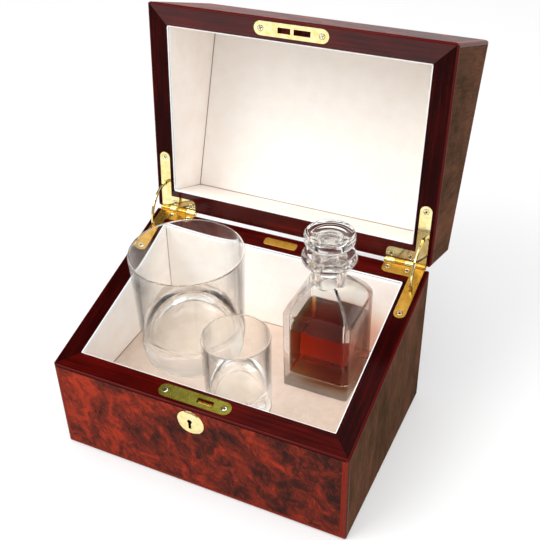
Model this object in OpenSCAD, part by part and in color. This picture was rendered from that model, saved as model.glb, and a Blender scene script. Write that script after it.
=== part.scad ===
// Tantalus case for a decanter and two glasses: a slant cut wooden box, its lid open on quadrant hinges.
// Millimetres. X is right, Y is back and Z is up. The origin is the centre of the underside.

/* [Case] */
// Outside width, left to right
case_w = 240; // [200:1:300]
// Outside depth, front to back
case_d = 167.5; // [160:0.5:220]
// Height of the base at its front
rim_front_h = 84; // [76:1:105]
// Height of the base at its back
rim_back_h = 128; // [110:1:155]
// Thickness of the wooden walls
wall_t = 10.6; // [9:0.1:13]
// Width of the lipping that shows as the rim
rim_w = 15.8; // [14.5:0.1:20]
// Thickness of the rim lipping
rim_t = 2.2; // [1.9:0.1:3]
// Gap between the two rims of the closed case
rim_gap = 0.3; // [0.2:0.05:0.6]
// Radius of the upright corners
corner_r = 3; // [2:0.5:5]
// Radius of the long outer edges at the top and the bottom
edge_r = 2; // [1:0.5:4]
// Radius of the outer arris of each rim
arris_r = 1.5; // [0.8:0.1:1.8]
// Thickness of the lid's top board
lid_top_t = 4; // [3:0.5:7]
// Thickness of the bottom board
bottom_t = 6; // [4:0.5:9]
// Thickness of the baize under the base
baize_t = 1; // [0.6:0.1:2]
// How far the baize stays back from the outside
baize_inset = 4; // [2:0.5:10]

/* [Lining] */
// Thickness of the lining where it is thinnest
lining_t = 1.4; // [1:0.1:2]
// How far the lining shows inside the rim's inner edge
lining_show = 0.9; // [0.4:0.1:1.5]
// Height of the lining's upright edge next to the rim
lining_edge_h = 2; // [1:0.5:4]
// Height of the lined floor above the underside
floor_z = 42.7; // [35:0.1:52]
// Thickness of the raised floor board
floor_board_t = 4; // [3:0.5:6]
// Width of the bearers under the floor board
bearer_w = 12; // [8:1:20]
// Play around boards that are laid loose
board_play = 0.1; // [0.05:0.05:0.3]

/* [Hinges] */
// Angle of the open lid from closed
open_angle = 109.5; // [90:0.5:112]
// How far the hinge pins lie behind the back
hinge_out = 1; // [0.6:0.1:2]
// Thickness of the hinge leaves
leaf_t = 1.2; // [0.9:0.1:1.6]
// Width of the long arm of a leaf
strip_w = 9.2; // [8:0.1:10]
// Distance of the long arm from the outside
strip_inset = 4; // [3:0.1:5]
// Length of the long arm, from the pin to its round end
strip_l = 51.6; // [45:0.1:70]
// Length of the short arm along the back
arm_l = 32; // [26:0.5:45]
// Width of the short arm, from the pin to its front edge
arm_w = 12; // [10:0.1:12.5]
// Radius of the hinge knuckles
knuckle_r = 2.3; // [2:0.1:2.8]
// Radius of the hinge pins
hinge_pin_r = 1; // [0.8:0.05:1.3]
// Running fit of the pins, on the radius
pin_play = 0.05; // [0.02:0.01:0.1]
// Play between hinge parts that pass each other
hinge_play = 0.3; // [0.2:0.05:0.5]
// Middle radius of the curved stays
stay_r = 23.5; // [20:0.5:26]
// Width of a stay
stay_w = 2.6; // [2:0.1:3.2]
// Thickness of a stay
stay_t = 1.6; // [1.2:0.1:2]
// Width of the lugs that stop a stay
stay_lug_w = 4; // [3.6:0.1:5]

/* [Screws] */
// Radius of the screw heads
screw_head_r = 2.3; // [1.9:0.1:2.7]
// Radius of the screw shanks
screw_shank_r = 1; // [0.8:0.05:1.3]
// Length of the screws
screw_l = 8; // [6:0.5:10]

/* [Lock] */
// Place of the lock along the front, from the middle
lock_x = -1; // [-10:0.5:10]
// Length of the lock plate and the keeper plate
plate_l = 58.6; // [54:0.1:72]
// Width of the lock plate and the keeper plate
plate_w = 10.6; // [9:0.1:11.5]
// Distance of the plates from the front edge of the rim
plate_inset = 3.2; // [2.5:0.1:3.6]
// Thickness of the plates
plate_t = 1.2; // [0.9:0.1:1.4]
// Length of the slot for the bolt
slot_l = 13; // [11:0.5:15]
// Width of the slot for the bolt
slot_w = 4.2; // [3.8:0.1:4.8]
// Distance of that slot from the middle of the plate
slot_x = 8.7; // [8:0.1:10]
// Length of the bolt's head, less than the slot
bolt_l = 11.6; // [9:0.1:12]
// Thickness of the bolt
bolt_t = 2.4; // [2:0.1:2.6]
// How far the bolt rises
bolt_travel = 6; // [4:0.5:7]
// Width of the lock case
lock_case_w = 38; // [34:0.5:41]
// Height of the lock case
lock_case_h = 34; // [30:0.5:37]
// Thickness of the lock case's walls
lock_wall_t = 1; // [0.7:0.1:1.2]
// Radius of the round escutcheon
escutcheon_r = 10.9; // [9:0.1:12]
// How far the escutcheon stands off the front
escutcheon_t = 1.6; // [1:0.1:2.5]
// Radius of the keyhole
keyhole_r = 1.9; // [1.5:0.1:2.3]
// Height of the keyhole's round part above the underside
keyhole_z = 72; // [68:0.5:74]
// Length of the brass plaque on the back rim
plaque_l = 28.5; // [20:0.5:36]
// Width of the brass plaque
plaque_w = 7.2; // [6:0.1:8]
// Thickness of the brass plaque
plaque_t = 0.6; // [0.4:0.1:1]

/* [Glassware] */
// Space between the big tumbler and the lining's upright edge
glass_gap = 0.8; // [0.6:0.1:3]
// Radius of the tumbler's rim
tumbler_r = 46.1; // [40:0.1:48]
// Height of the tumbler
tumbler_h = 96.5; // [85:0.5:105]
// Radius of the shot glass's rim
shot_r = 26.4; // [22:0.1:29]
// Height of the shot glass
shot_h = 70; // [60:0.5:80]
// Space between the shot glass and the front lining's edge
shot_front_gap = 11.6; // [8:0.1:14]
// How far the shot glass's middle lies right of the tumbler's side
shot_side_gap = 20.3; // [18:0.1:26]
// Width of the square decanter
decanter_w = 53.9; // [46:0.1:58]
// Height of the decanter's upright sides
decanter_side_h = 68.5; // [60:0.5:76]
// Height of the decanter's sloping shoulder
shoulder_h = 25; // [22:0.5:29]
// Height of the decanter up to its mouth
decanter_h = 117.5; // [112:0.5:130]
// Radius of the decanter's upright corners
decanter_corner_r = 3.5; // [2.5:0.5:5]
// Thickness of the decanter's sides
decanter_wall_t = 4.5; // [3:0.1:6]
// Thickness of the decanter's bottom
decanter_base_t = 12; // [8:0.5:16]
// Space between the decanter and the right lining's edge
decanter_side_gap = 19.2; // [12:0.1:22]
// Space between the decanter and the back lining's edge
decanter_back_gap = 5.8; // [3:0.1:9]
// Radius of the decanter's neck
neck_r = 13.1; // [11.5:0.1:14.5]
// Radius of the collar round the mouth
collar_r = 20.8; // [18:0.1:22]
// Radius of the mouth's bore at the top
mouth_r = 8; // [6.5:0.1:9]
// Height of the spirit above the decanter's underside
spirit_level = 54.8; // [20:0.1:58]
// Radius of the stopper's disc
stopper_r = 18.9; // [16:0.1:20]
// Height of the stopper above the mouth
stopper_h = 17.4; // [14:0.1:21]
// Length of the stopper's ground plug
plug_l = 18; // [12:0.5:22]
// Fit of the plug in the ground neck, on the radius
plug_play = 0.08; // [0.03:0.01:0.1]
// Space between the stopper and the closed lid
head_gap = 1.6; // [1:0.1:6]

/* [Hidden] */
$fn = 64;

// Sides are numbered by the way they face
FRONT = 0;
RIGHT = 1;
BACK = 2;
LEFT = 3;

// Colours, as the photograph shows them
wood_colour = "#5a1a12";
rim_colour = "#3a0806";
suede_colour = "#f0e2d4";
brass_colour = "#d8b860";
steel_colour = "#9a9a98";
glass_colour = "#dfe9ea";
spirit_colour = "#b4560e";
baize_colour = "#2f4a34";
ply_colour = "#c8a878";

// Case sizes that follow from the driving ones
half_w = case_w / 2;
half_d = case_d / 2;
slope = atan((rim_back_h - rim_front_h) / case_d);
case_h = floor_z + decanter_h + stopper_h + head_gap + lining_t + lid_top_t;
wall_x = half_w - wall_t;
wall_y = half_d - wall_t;
rim_x = half_w - rim_w;
rim_y = half_d - rim_w;
lip_x = rim_x - lining_show;
lip_y = rim_y - lining_show;
face_x = wall_x - lining_t;
face_y = wall_y - lining_t;
panel_z = case_h - lid_top_t - lining_t;
reach = 2 * case_w;
mitre_depth = 40;
body_h = case_h - baize_t;

// How far a cutter passes the face that it cuts, and a hair's overlap for joined shapes
past = 1;
eps = 0.01;

// Hinge sizes. The pin lies midway between the two rims.
hinge_y = half_d + hinge_out;
hinge_n = rim_gap / 2;
hinge_s = (case_d + hinge_out) / cos(slope) + hinge_n * tan(slope);
hinge_z = rim_front_h + hinge_s * sin(slope) + hinge_n * cos(slope);
strip_x = half_w - strip_inset - strip_w / 2;
hinge_x1 = half_w - strip_inset;
hinge_x0 = hinge_x1 - arm_l;
strip_end_s = hinge_s - strip_l + strip_w / 2;
leaf_corner_r = 4;
knuckles = 4;
knuckle_l = arm_l / knuckles;
pin_head_r = knuckle_r - 0.6;
pin_head_t = 0.6;
pin_end_play = 0.2;
pin_room = pin_end_play + pin_head_t + 0.4;
bed_play = 0.05;

// Stay sizes. Its lugs stop under the leaves' slots, at the angle of the rim's plane.
stay_x = strip_x + 0.6;
stay_side_play = 0.4;
lug_play = 0.4;
lug_angle = 3;
lug_start = 4.6;
stay_tail = lug_start + lug_angle;
pocket_angle = open_angle / 2 + stay_tail + 1.8;
plane_angle = 180 + slope;

// Screw sizes
arm_screw_s = hinge_s - arm_w / 2 - 0.6;
arm_screw_x = [hinge_x0 + 4.2, strip_x - strip_w / 2 - 3.2];
screw_head_h = 1.3;
screw_play = 0.05;
screw_tip_play = 0.2;
cross_l = 2.8;
cross_w = 0.6;

// Lock sizes
plate_s = plate_inset + plate_w / 2;
plate_screw_x = plate_l / 2 - plate_w / 2;
bolt_x = lock_x + slot_x;
bolt_y = plate_s * cos(slope) - half_d;
bolt_play = 0.1;
bolt_sink = 1;
bolt_top = rim_front_h + (bolt_y + half_d) * tan(slope) - bolt_sink;
bolt_head_h = 20;
bolt_h = 28;
bolt_tail_l = 14;
bolt_well_w = bolt_t + 1.2;
bolt_well_room = 2.5;
blind_slot_l = 10;
blind_slot_x = lock_x - 5.4;
lock_case_front = bolt_y - bolt_t / 2 - bolt_play - lock_wall_t;
lock_cavity_back = bolt_y + bolt_t / 2 + bolt_play;
lock_cover_t = 0.8;
lock_case_top = rim_front_h + (lock_case_front + half_d) * tan(slope) - rim_t / cos(slope) - 0.3;
mortise_play = 0.1;
key_slot_l = 7;
key_slot_w = 2.2;
keyhole_play = 0.2;
escutcheon_z = keyhole_z - key_slot_l / 4;
escutcheon_bevel = 1.1;
spigot_r = 6.2;
spigot_l = 2;
spring_r = 24;
spring_l = 18;
spring_w = 1.8;
spring_t = 0.4;
plaque_s = (case_d - rim_w / 2) / cos(slope) - 0.6;
plaque_corner_r = 2.2;

// Glassware places. The tumbler stands in the back left corner.
tumbler_x = -lip_x + glass_gap + tumbler_r;
tumbler_y = lip_y - glass_gap - tumbler_r;
shot_x = tumbler_x + tumbler_r + shot_side_gap;
shot_y = -lip_y + shot_front_gap + shot_r;
decanter_x = lip_x - decanter_side_gap - decanter_w / 2;
decanter_y = lip_y - decanter_back_gap - decanter_w / 2;
shoulder_r = 42;
spirit_play = 0.05;
plug_taper = 1;
collar_t = 8.8;
stopper_stem_r = 9.3;
stopper_stem_h = 8;
stopper_edge_r = 3;
stopper_seat = 0.1;

// Height of the base's rim at a depth y
function rim_z(y) = rim_front_h + (y + half_d) * tan(slope);

// Points of an arc in the plane, from angle a to angle b
function arc(cx, cy, r, a, b, steps) =
    [for (i = [0:steps]) [cx + r * cos(a + (b - a) * i / steps), cy + r * sin(a + (b - a) * i / steps)]];

// Centre of the arc of radius r that bulges outwards from p to q, where q is higher and further in
function arc_centre(p, q, r) =
    let (chord = q - p, l = norm(chord), rise = sqrt(r * r - l * l / 4))
    (p + q) / 2 + rise / l * [-chord[1], chord[0]];

// Frames and shapes used by several pieces

// The frame of the rim: x to the right, y back up the slope from the front edge, z off the base
module rim_frame() {
    translate([0, -half_d, rim_front_h]) rotate([slope, 0, 0]) children();
}

// Everything above the rim's plane, shifted by n
module over_rim(n) {
    rim_frame() translate([-reach, -reach, n]) cube([2 * reach, 3 * reach, 2 * reach]);
}

// Everything below the rim's plane, shifted by n
module under_rim(n) {
    rim_frame() translate([-reach, -reach, n - 2 * reach]) cube([2 * reach, 3 * reach, 2 * reach]);
}

// Turns a piece of the closed lid to the open lid's place
module opened() {
    translate([0, hinge_y, hinge_z]) rotate([-open_angle, 0, 0])
        translate([0, -hinge_y, -hinge_z]) children();
}

// Mirrors a piece modelled on the right to the given side
module on_side(side) {
    if (side == LEFT) mirror([1, 0, 0]) children();
    else children();
}

// A flat rectangle with round corners
module rounded_rect(w, h, r) {
    square([w - 2 * r, h], center = true);
    square([w, h - 2 * r], center = true);
    for (x = [-1, 1], y = [-1, 1]) translate([x * (w / 2 - r), y * (h / 2 - r)]) circle(r);
}

// A flat strip with two round ends
module stadium(l, w) {
    square([l - w, w], center = true);
    for (x = [-1, 1]) translate([x * (l - w) / 2, 0]) circle(w / 2);
}

// An upright box given by its half sizes and its two heights
module upright_box(x, y, z0, z1) {
    translate([-x, -y, z0]) cube([2 * x, 2 * y, z1 - z0]);
}

// The closed case's whole outer form, with its rounded corners and edges
module case_block() {
    mid_z = baize_t + body_h / 2;
    intersection() {
        linear_extrude(case_h) rounded_rect(case_w, case_d, corner_r);
        translate([0, 0, mid_z]) rotate([90, 0, 0]) linear_extrude(case_d + 2 * past, center = true)
            rounded_rect(case_w, body_h, edge_r);
        translate([0, 0, mid_z]) rotate([90, 0, 90]) linear_extrude(case_w + 2 * past, center = true)
            rounded_rect(case_d, body_h, edge_r);
    }
}

// The quarter of the case that faces one way, cut along the corners' mitres
module mitre(side) {
    m = mitre_depth;
    x = half_w + past;
    y = half_d + past;
    flat = (side == FRONT) ? [[-x, -y], [x, -y], [x - m, m - y], [m - x, m - y]]
        : (side == BACK) ? [[x, y], [-x, y], [m - x, y - m], [x - m, y - m]]
        : (side == RIGHT) ? [[x, -y], [x, y], [x - m, y - m], [x - m, m - y]]
        : [[-x, y], [-x, -y], [m - x, m - y], [m - x, y - m]];
    translate([0, 0, -past]) linear_extrude(case_h + 2 * past) polygon(flat);
}

// What the arris takes off a rim's front or back edge, as a flat shape in the plane of Y and Z.
// The edge is at the point apex, where the two faces meet at the given angle. The rim's wood lies
// up or down from there, its upright face looks out, and its sloping face runs along.
module edge_cut(apex, up, out, along, angle) {
    t = arris_r / tan(angle / 2);
    p = apex + t * [0, up];
    q = apex + t * along;
    c = p - arris_r * [out, 0];
    clear = up * past * [sin(slope), -cos(slope)];
    difference() {
        polygon([p, p + past * [out, 0], apex + past * [out, -up], q + clear, q, c]);
        translate(c) circle(arris_r);
    }
}

// Everything that the rounds take off one rim. up is -1 for the base and 1 for the lid.
module arris_cuts(up) {
    lift = (up > 0) ? rim_gap : 0;
    dz = lift / cos(slope);
    along = [cos(slope), sin(slope)];
    rotate([90, 0, 90]) linear_extrude(case_w + 2 * past, center = true) {
        edge_cut([-half_d, rim_front_h + dz], up, -1, along, 90 - up * slope);
        edge_cut([half_d, rim_back_h + dz], up, 1, -along, 90 + up * slope);
    }
    side = arris_r + past;
    rim_frame() for (x = [-1, 1]) difference() {
        translate([x * (half_w + past - side / 2), half_d, lift + up * (side / 2 - past)])
            cube([side, 2 * case_d, side], center = true);
        translate([x * (half_w - arris_r), half_d, lift + up * arris_r])
            rotate([90, 0, 0]) cylinder(h = 3 * case_d, r = arris_r, center = true);
    }
}

// Screws and their holes

// Hole for a countersunk screw whose head is flush with the plane z = 0
module screw_hole() {
    shank = screw_shank_r + screw_play;
    head = screw_head_r + screw_play;
    depth = screw_l + screw_tip_play;
    translate([0, 0, -depth]) cylinder(h = depth, r = shank);
    translate([0, 0, -screw_head_h - screw_play]) cylinder(h = screw_head_h, r1 = shank, r2 = head);
    translate([0, 0, -screw_play - eps]) cylinder(h = past, r = head);
}

// A countersunk brass screw with a cross recess
module screw() {
    difference() {
        union() {
            translate([0, 0, -screw_l]) cylinder(h = screw_l - screw_head_h / 2, r = screw_shank_r);
            translate([0, 0, -screw_head_h])
                cylinder(h = screw_head_h, r1 = screw_shank_r, r2 = screw_head_r);
        }
        for (a = [20, 110]) rotate([0, 0, a]) cube([cross_l, cross_w, screw_head_h], center = true);
    }
}

// Puts a screw or a hole at each hinge screw's place on the right, in the base's leaf
module at_hinge_screws() {
    rim_frame() {
        translate([strip_x, strip_end_s, 0]) children();
        for (x = arm_screw_x) translate([x, arm_screw_s, 0]) children();
    }
}

// Mirrors a piece of the base's rim into the closed lid's rim, through the middle of the gap
module mirrored() {
    rim_frame() translate([0, 0, rim_gap]) mirror([0, 0, 1]) rotate([-slope, 0, 0])
        translate([0, half_d, -rim_front_h]) children();
}

// Hinges

// Outline of the right base leaf in the rim's frame, larger by grow on every side
module leaf_outline(grow) {
    r = leaf_corner_r;
    arm_s = hinge_s - arm_w;
    translate([strip_x - strip_w / 2 - grow, strip_end_s])
        square([strip_w + 2 * grow, strip_l - strip_w / 2]);
    translate([strip_x, strip_end_s]) circle(strip_w / 2 + grow);
    translate([hinge_x0 + r, arm_s - grow]) square([arm_l - r, arm_w + grow]);
    translate([hinge_x0 - grow, arm_s + r]) square([arm_l, arm_w - r]);
    translate([hinge_x0 + r, arm_s + r]) circle(r + grow);
}

// Round bar along the hinge's axis on the right, from x0 to x1
module hinge_bar(x0, x1, r) {
    translate([x0, hinge_y, hinge_z]) rotate([0, 90, 0]) cylinder(h = x1 - x0, r = r);
}

// Part of a ring about the hinge's axis, from angle a over the angle span, w wide and t thick
module hinge_ring(a, span, w, t) {
    translate([stay_x, hinge_y, hinge_z]) rotate([90, 0, 90]) rotate([0, 0, a])
        rotate_extrude(angle = span, $fn = 128) translate([stay_r - w / 2, -t / 2]) square([w, t]);
}

// Slot in a leaf for the stay
module stay_slot() {
    rim_frame() translate([stay_x, hinge_s - stay_r, 0])
        cube([stay_t + 2 * stay_side_play, stay_w + 2 * lug_play, 4 * leaf_t], center = true);
}

// One leaf on the right, with the knuckles of the given parity. The base's leaf has parity 1.
module leaf(parity) {
    difference() {
        union() {
            rim_frame() translate([0, 0, -leaf_t]) linear_extrude(leaf_t) leaf_outline(0);
            hinge_bar(hinge_x0, hinge_x1, knuckle_r);
        }
        for (k = [0:knuckles - 1])
            if (k % 2 != parity)
                hinge_bar(hinge_x0 + k * knuckle_l - ((k == 0) ? past : hinge_play / 2),
                    hinge_x0 + (k + 1) * knuckle_l + ((k == knuckles - 1) ? past : hinge_play / 2),
                    knuckle_r + hinge_play);
        hinge_bar(hinge_x0 - past, hinge_x1 + past, hinge_pin_r + pin_play);
        stay_slot();
        at_hinge_screws() screw_hole();
    }
}

// Pin of the right hinge, with a low head at each end
module hinge_pin() {
    x0 = hinge_x0 - pin_end_play;
    x1 = hinge_x1 + pin_end_play;
    hinge_bar(x0, x1, hinge_pin_r);
    hinge_bar(x0 - pin_head_t, x0, pin_head_r);
    hinge_bar(x1, x1 + pin_head_t, pin_head_r);
}

// Curved stay of the right hinge at its place when the lid is open
module stay() {
    first = plane_angle - open_angle - stay_tail;
    hinge_ring(first + lug_angle / 2, open_angle + 2 * stay_tail - lug_angle, stay_w, stay_t);
    hinge_ring(first, lug_angle, stay_lug_w, stay_t);
    hinge_ring(plane_angle + lug_start, lug_angle, stay_lug_w, stay_t);
}

// Pockets for the stay. up is -1 for the base and 1 for the closed lid.
module stay_pocket(up) {
    hinge_ring((up > 0) ? plane_angle - pocket_angle : plane_angle, pocket_angle,
        stay_lug_w + 2 * lug_play, stay_t + 2 * stay_side_play);
    rim_frame() translate([stay_x, hinge_s - stay_r, 0])
        cube([stay_t + 2 * stay_side_play, stay_lug_w + 2 * lug_play, 3 * rim_t], center = true);
}

// The bed of the right base leaf, with its knuckles, its pin's heads and its screws
module leaf_bed() {
    rim_frame() translate([0, 0, -leaf_t - bed_play]) linear_extrude(3 * leaf_t) leaf_outline(board_play);
    hinge_bar(hinge_x0 - pin_room, hinge_x1 + pin_room, knuckle_r + hinge_play);
    at_hinge_screws() screw_hole();
}

// Everything that the right hinge takes out of the base's wood
module hinge_cuts_base() {
    leaf_bed();
    stay_pocket(-1);
}

// Everything that the right hinge takes out of the closed lid's wood
module hinge_cuts_lid() {
    mirrored() leaf_bed();
    stay_pocket(1);
}

// Lock

// A plate in the front rim, larger by grow, from below to above in the rim's frame
module front_plate(grow, below, above) {
    rim_frame() translate([lock_x, plate_s, below]) linear_extrude(above - below)
        stadium(plate_l + 2 * grow, plate_w + 2 * grow);
}

// Puts a screw or a hole at both ends of a front plate
module at_plate_screws() {
    rim_frame() for (x = [-1, 1]) translate([lock_x + x * plate_screw_x, plate_s, 0]) children();
}

// Slot for the bolt through a plate, with its middle at x
module bolt_slot(x, l) {
    rim_frame() translate([x, plate_s, 0]) cube([l, slot_w, 6 * plate_t], center = true);
}

// Upright hole for the bolt between two heights
module bolt_well(z0, z1) {
    translate([bolt_x - slot_l / 2, bolt_y - bolt_well_w / 2, z0]) cube([slot_l, bolt_well_w, z1 - z0]);
}

// Keyhole through everything between two depths
module keyhole(y0, y1, grow) {
    translate([lock_x, y1, keyhole_z]) rotate([90, 0, 0]) {
        cylinder(h = y1 - y0, r = keyhole_r + grow);
        translate([-key_slot_w / 2 - grow, -key_slot_l - grow, 0])
            cube([key_slot_w + 2 * grow, key_slot_l, y1 - y0]);
    }
}

// Everything that the lock takes out of the base's wood
module lock_cuts_base() {
    w = lock_case_w + 2 * mortise_play;
    y0 = lock_case_front - mortise_play;
    front_plate(board_play, -plate_t - bed_play, plate_t);
    at_plate_screws() screw_hole();
    translate([lock_x - w / 2, y0, lock_case_top - lock_case_h - mortise_play])
        cube([w, -wall_y - y0 + eps, lock_case_h + 2 * mortise_play]);
    bolt_well(bolt_top - bolt_head_h, rim_front_h + rim_w);
    keyhole(-half_d - past, bolt_y, keyhole_play);
    translate([lock_x, -half_d - past, escutcheon_z]) rotate([-90, 0, 0])
        cylinder(h = past + spigot_l + mortise_play, r = spigot_r + bed_play);
}

// Everything that the keeper and the raised bolt take out of the closed lid's wood
module lock_cuts_lid() {
    front_plate(board_play, 0, rim_gap + plate_t + bed_play);
    mirrored() at_plate_screws() screw_hole();
    bolt_well(rim_front_h, bolt_top + bolt_travel + bolt_well_room);
    translate([blind_slot_x - blind_slot_l / 2, bolt_y - bolt_well_w / 2, rim_front_h])
        cube([blind_slot_l, bolt_well_w, bolt_sink + bolt_travel]);
}

// The base's wood

// One wall of the base
module base_wall(side) {
    color(wood_colour) difference() {
        intersection() {
            case_block();
            mitre(side);
            under_rim(-rim_t);
        }
        upright_box(wall_x, wall_y, -past, case_h);
        if (side == FRONT) lock_cuts_base();
        if (side != LEFT && side != FRONT) on_side(RIGHT) hinge_cuts_base();
        if (side != RIGHT && side != FRONT) on_side(LEFT) hinge_cuts_base();
    }
}

// One piece of the lipping that caps the base's walls
module base_rim(side) {
    color(rim_colour) difference() {
        intersection() {
            case_block();
            mitre(side);
            under_rim(0);
            over_rim(-rim_t);
        }
        upright_box(rim_x, rim_y, -past, case_h);
        arris_cuts(-1);
        if (side == FRONT) lock_cuts_base();
        if (side == BACK) plaque_recess();
        if (side != LEFT && side != FRONT) on_side(RIGHT) hinge_cuts_base();
        if (side != RIGHT && side != FRONT) on_side(LEFT) hinge_cuts_base();
    }
}

// The recess for the plaque in the back rim
module plaque_recess() {
    rim_frame() translate([lock_x, plaque_s, -plaque_t - bed_play]) linear_extrude(plaque_t + past)
        rounded_rect(plaque_l + 2 * board_play, plaque_w + 2 * board_play, plaque_corner_r);
}

module plaque() {
    color(brass_colour) rim_frame() translate([lock_x, plaque_s, -plaque_t])
        linear_extrude(plaque_t) rounded_rect(plaque_l, plaque_w, plaque_corner_r);
}

module bottom_board() {
    color(ply_colour) upright_box(wall_x, wall_y, baize_t, baize_t + bottom_t);
}

module baize() {
    color(baize_colour) linear_extrude(baize_t)
        rounded_rect(case_w - 2 * baize_inset, case_d - 2 * baize_inset, corner_r);
}

module floor_board() {
    top = floor_z - lining_t;
    color(ply_colour) upright_box(wall_x - board_play, wall_y - board_play, top - floor_board_t, top);
}

// Two bearers along the left and right walls
module floor_side_bearers() {
    z0 = baize_t + bottom_t;
    color(ply_colour) for (x = [-wall_x, wall_x - bearer_w])
        translate([x, -wall_y, z0]) cube([bearer_w, 2 * wall_y, floor_z - lining_t - floor_board_t - z0]);
}

// Two bearers along the front and back walls, between the side ones
module floor_cross_bearers() {
    z0 = baize_t + bottom_t;
    color(ply_colour) for (y = [-wall_y, wall_y - bearer_w])
        translate([bearer_w - wall_x, y, z0])
            cube([2 * (wall_x - bearer_w), bearer_w, floor_z - lining_t - floor_board_t - z0]);
}

// Linings. Each board is thinnest at the floor or at the lid's panel and leans in towards the rim.

// Flat section of a space whose sides lean, from half width a at height z0 to the height z1.
// left and right are how far a side moves in for each millimetre of height.
module leaning_section(a, z0, z1, left, right) {
    back = (z1 > z0) ? -lining_t - past : lining_t + past;
    h = abs(z1 - z0);
    polygon([[-a, z0 + back], [a, z0 + back], [a, z0], [a - h * right, z1], [h * left - a, z1], [-a, z0]]);
}

// The space inside the linings, between the height z0 at the floor or the panel and the height z1.
// front_z and back_z are the heights at which the linings meet the rim's front and back.
module lined_space(z0, z1, front_z, back_z) {
    side = (face_x - lip_x) / max(abs(front_z - z0), abs(back_z - z0));
    front = (face_y - lip_y) / abs(front_z - z0);
    back = (face_y - lip_y) / abs(back_z - z0);
    intersection() {
        rotate([90, 0, 0]) linear_extrude(case_d, center = true)
            leaning_section(face_x, z0, z1, side, side);
        rotate([90, 0, 90]) linear_extrude(case_w, center = true)
            leaning_section(face_y, z0, z1, front, back);
    }
}

// The space inside the base's linings
module base_space() {
    intersection() {
        lined_space(floor_z, rim_back_h, rim_z(-lip_y) - rim_t, rim_z(lip_y) - rim_t);
        union() {
            under_rim(-rim_t - lining_edge_h);
            upright_box(lip_x, lip_y, 0, case_h);
        }
    }
}

// The lining board of one side of the base
module base_lining(side) {
    color(suede_colour) difference() {
        intersection() {
            upright_box(wall_x, wall_y, floor_z - lining_t, case_h);
            mitre(side);
            under_rim(-rim_t);
        }
        base_space();
        if (side == FRONT) at_plate_screws() screw_hole();
        if (side == RIGHT || side == LEFT) on_side(side) stay_pocket(-1);
        if (side != LEFT && side != FRONT) on_side(RIGHT) at_hinge_screws() screw_hole();
        if (side != RIGHT && side != FRONT) on_side(LEFT) at_hinge_screws() screw_hole();
    }
}

module floor_lining() {
    color(suede_colour)
        upright_box(face_x - board_play, face_y - board_play, floor_z - lining_t, floor_z);
}

// The space inside the closed lid's linings
module lid_space() {
    lift = (rim_gap + rim_t) / cos(slope);
    intersection() {
        lined_space(panel_z, rim_front_h, rim_z(-lip_y) + lift, rim_z(lip_y) + lift);
        union() {
            over_rim(rim_gap + rim_t + lining_edge_h);
            upright_box(lip_x, lip_y, 0, case_h);
        }
    }
}

// The lining board of one side of the lid
module lid_lining(side) {
    color(suede_colour) opened() difference() {
        intersection() {
            upright_box(wall_x, wall_y, 0, case_h - lid_top_t);
            mitre(side);
            over_rim(rim_gap + rim_t);
        }
        lid_space();
        if (side == RIGHT || side == LEFT) on_side(side) stay_pocket(1);
        if (side != LEFT && side != FRONT) on_side(RIGHT) mirrored() at_hinge_screws() screw_hole();
        if (side != RIGHT && side != FRONT) on_side(LEFT) mirrored() at_hinge_screws() screw_hole();
    }
}

module lid_lining_panel() {
    color(suede_colour) opened()
        upright_box(face_x - board_play, face_y - board_play, panel_z, case_h - lid_top_t);
}

// The lid's wood

// One wall of the lid
module lid_wall(side) {
    color(wood_colour) opened() difference() {
        intersection() {
            case_block();
            mitre(side);
            over_rim(rim_gap + rim_t);
            upright_box(case_w, case_d, 0, case_h - lid_top_t);
        }
        upright_box(wall_x, wall_y, -past, case_h);
        if (side == FRONT) lock_cuts_lid();
        if (side != LEFT && side != FRONT) on_side(RIGHT) hinge_cuts_lid();
        if (side != RIGHT && side != FRONT) on_side(LEFT) hinge_cuts_lid();
    }
}

// One piece of the lipping that caps the lid's walls
module lid_rim(side) {
    color(rim_colour) opened() difference() {
        intersection() {
            case_block();
            mitre(side);
            over_rim(rim_gap);
            under_rim(rim_gap + rim_t);
        }
        upright_box(rim_x, rim_y, -past, case_h);
        arris_cuts(1);
        if (side == FRONT) lock_cuts_lid();
        if (side != LEFT && side != FRONT) on_side(RIGHT) hinge_cuts_lid();
        if (side != RIGHT && side != FRONT) on_side(LEFT) hinge_cuts_lid();
    }
}

module lid_top_board() {
    color(wood_colour) opened() intersection() {
        case_block();
        upright_box(case_w, case_d, case_h - lid_top_t, case_h + past);
    }
}

// Brass pieces of the base

module lock_plate() {
    color(brass_colour) difference() {
        front_plate(0, -plate_t, 0);
        bolt_slot(bolt_x, slot_l);
        at_plate_screws() screw_hole();
    }
}

module lock_screws() {
    color(brass_colour) at_plate_screws() screw();
}

// The lock's case, open at the back and cut for the bolt and the key
module lock_case() {
    z0 = lock_case_top - lock_case_h;
    x0 = lock_x - lock_case_w / 2;
    y1 = lock_case_front + lock_wall_t;
    color(steel_colour) difference() {
        translate([x0, lock_case_front, z0])
            cube([lock_case_w, lock_cavity_back - lock_case_front, lock_case_h]);
        translate([x0 + lock_wall_t, y1, z0 + lock_wall_t])
            cube([lock_case_w - 2 * lock_wall_t, bolt_t + 2 * past, lock_case_h - 2 * lock_wall_t]);
        translate([bolt_x - bolt_l / 2 - bolt_play, y1, lock_case_top - lock_wall_t - past])
            cube([bolt_l + 2 * bolt_play, bolt_t + 2 * past, lock_wall_t + 2 * past]);
        keyhole(lock_case_front - past, y1 + past, 0);
    }
}

module lock_cover() {
    color(steel_colour) translate([lock_x - lock_case_w / 2, lock_cavity_back, lock_case_top - lock_case_h])
        cube([lock_case_w, lock_cover_t, lock_case_h]);
}

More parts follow.
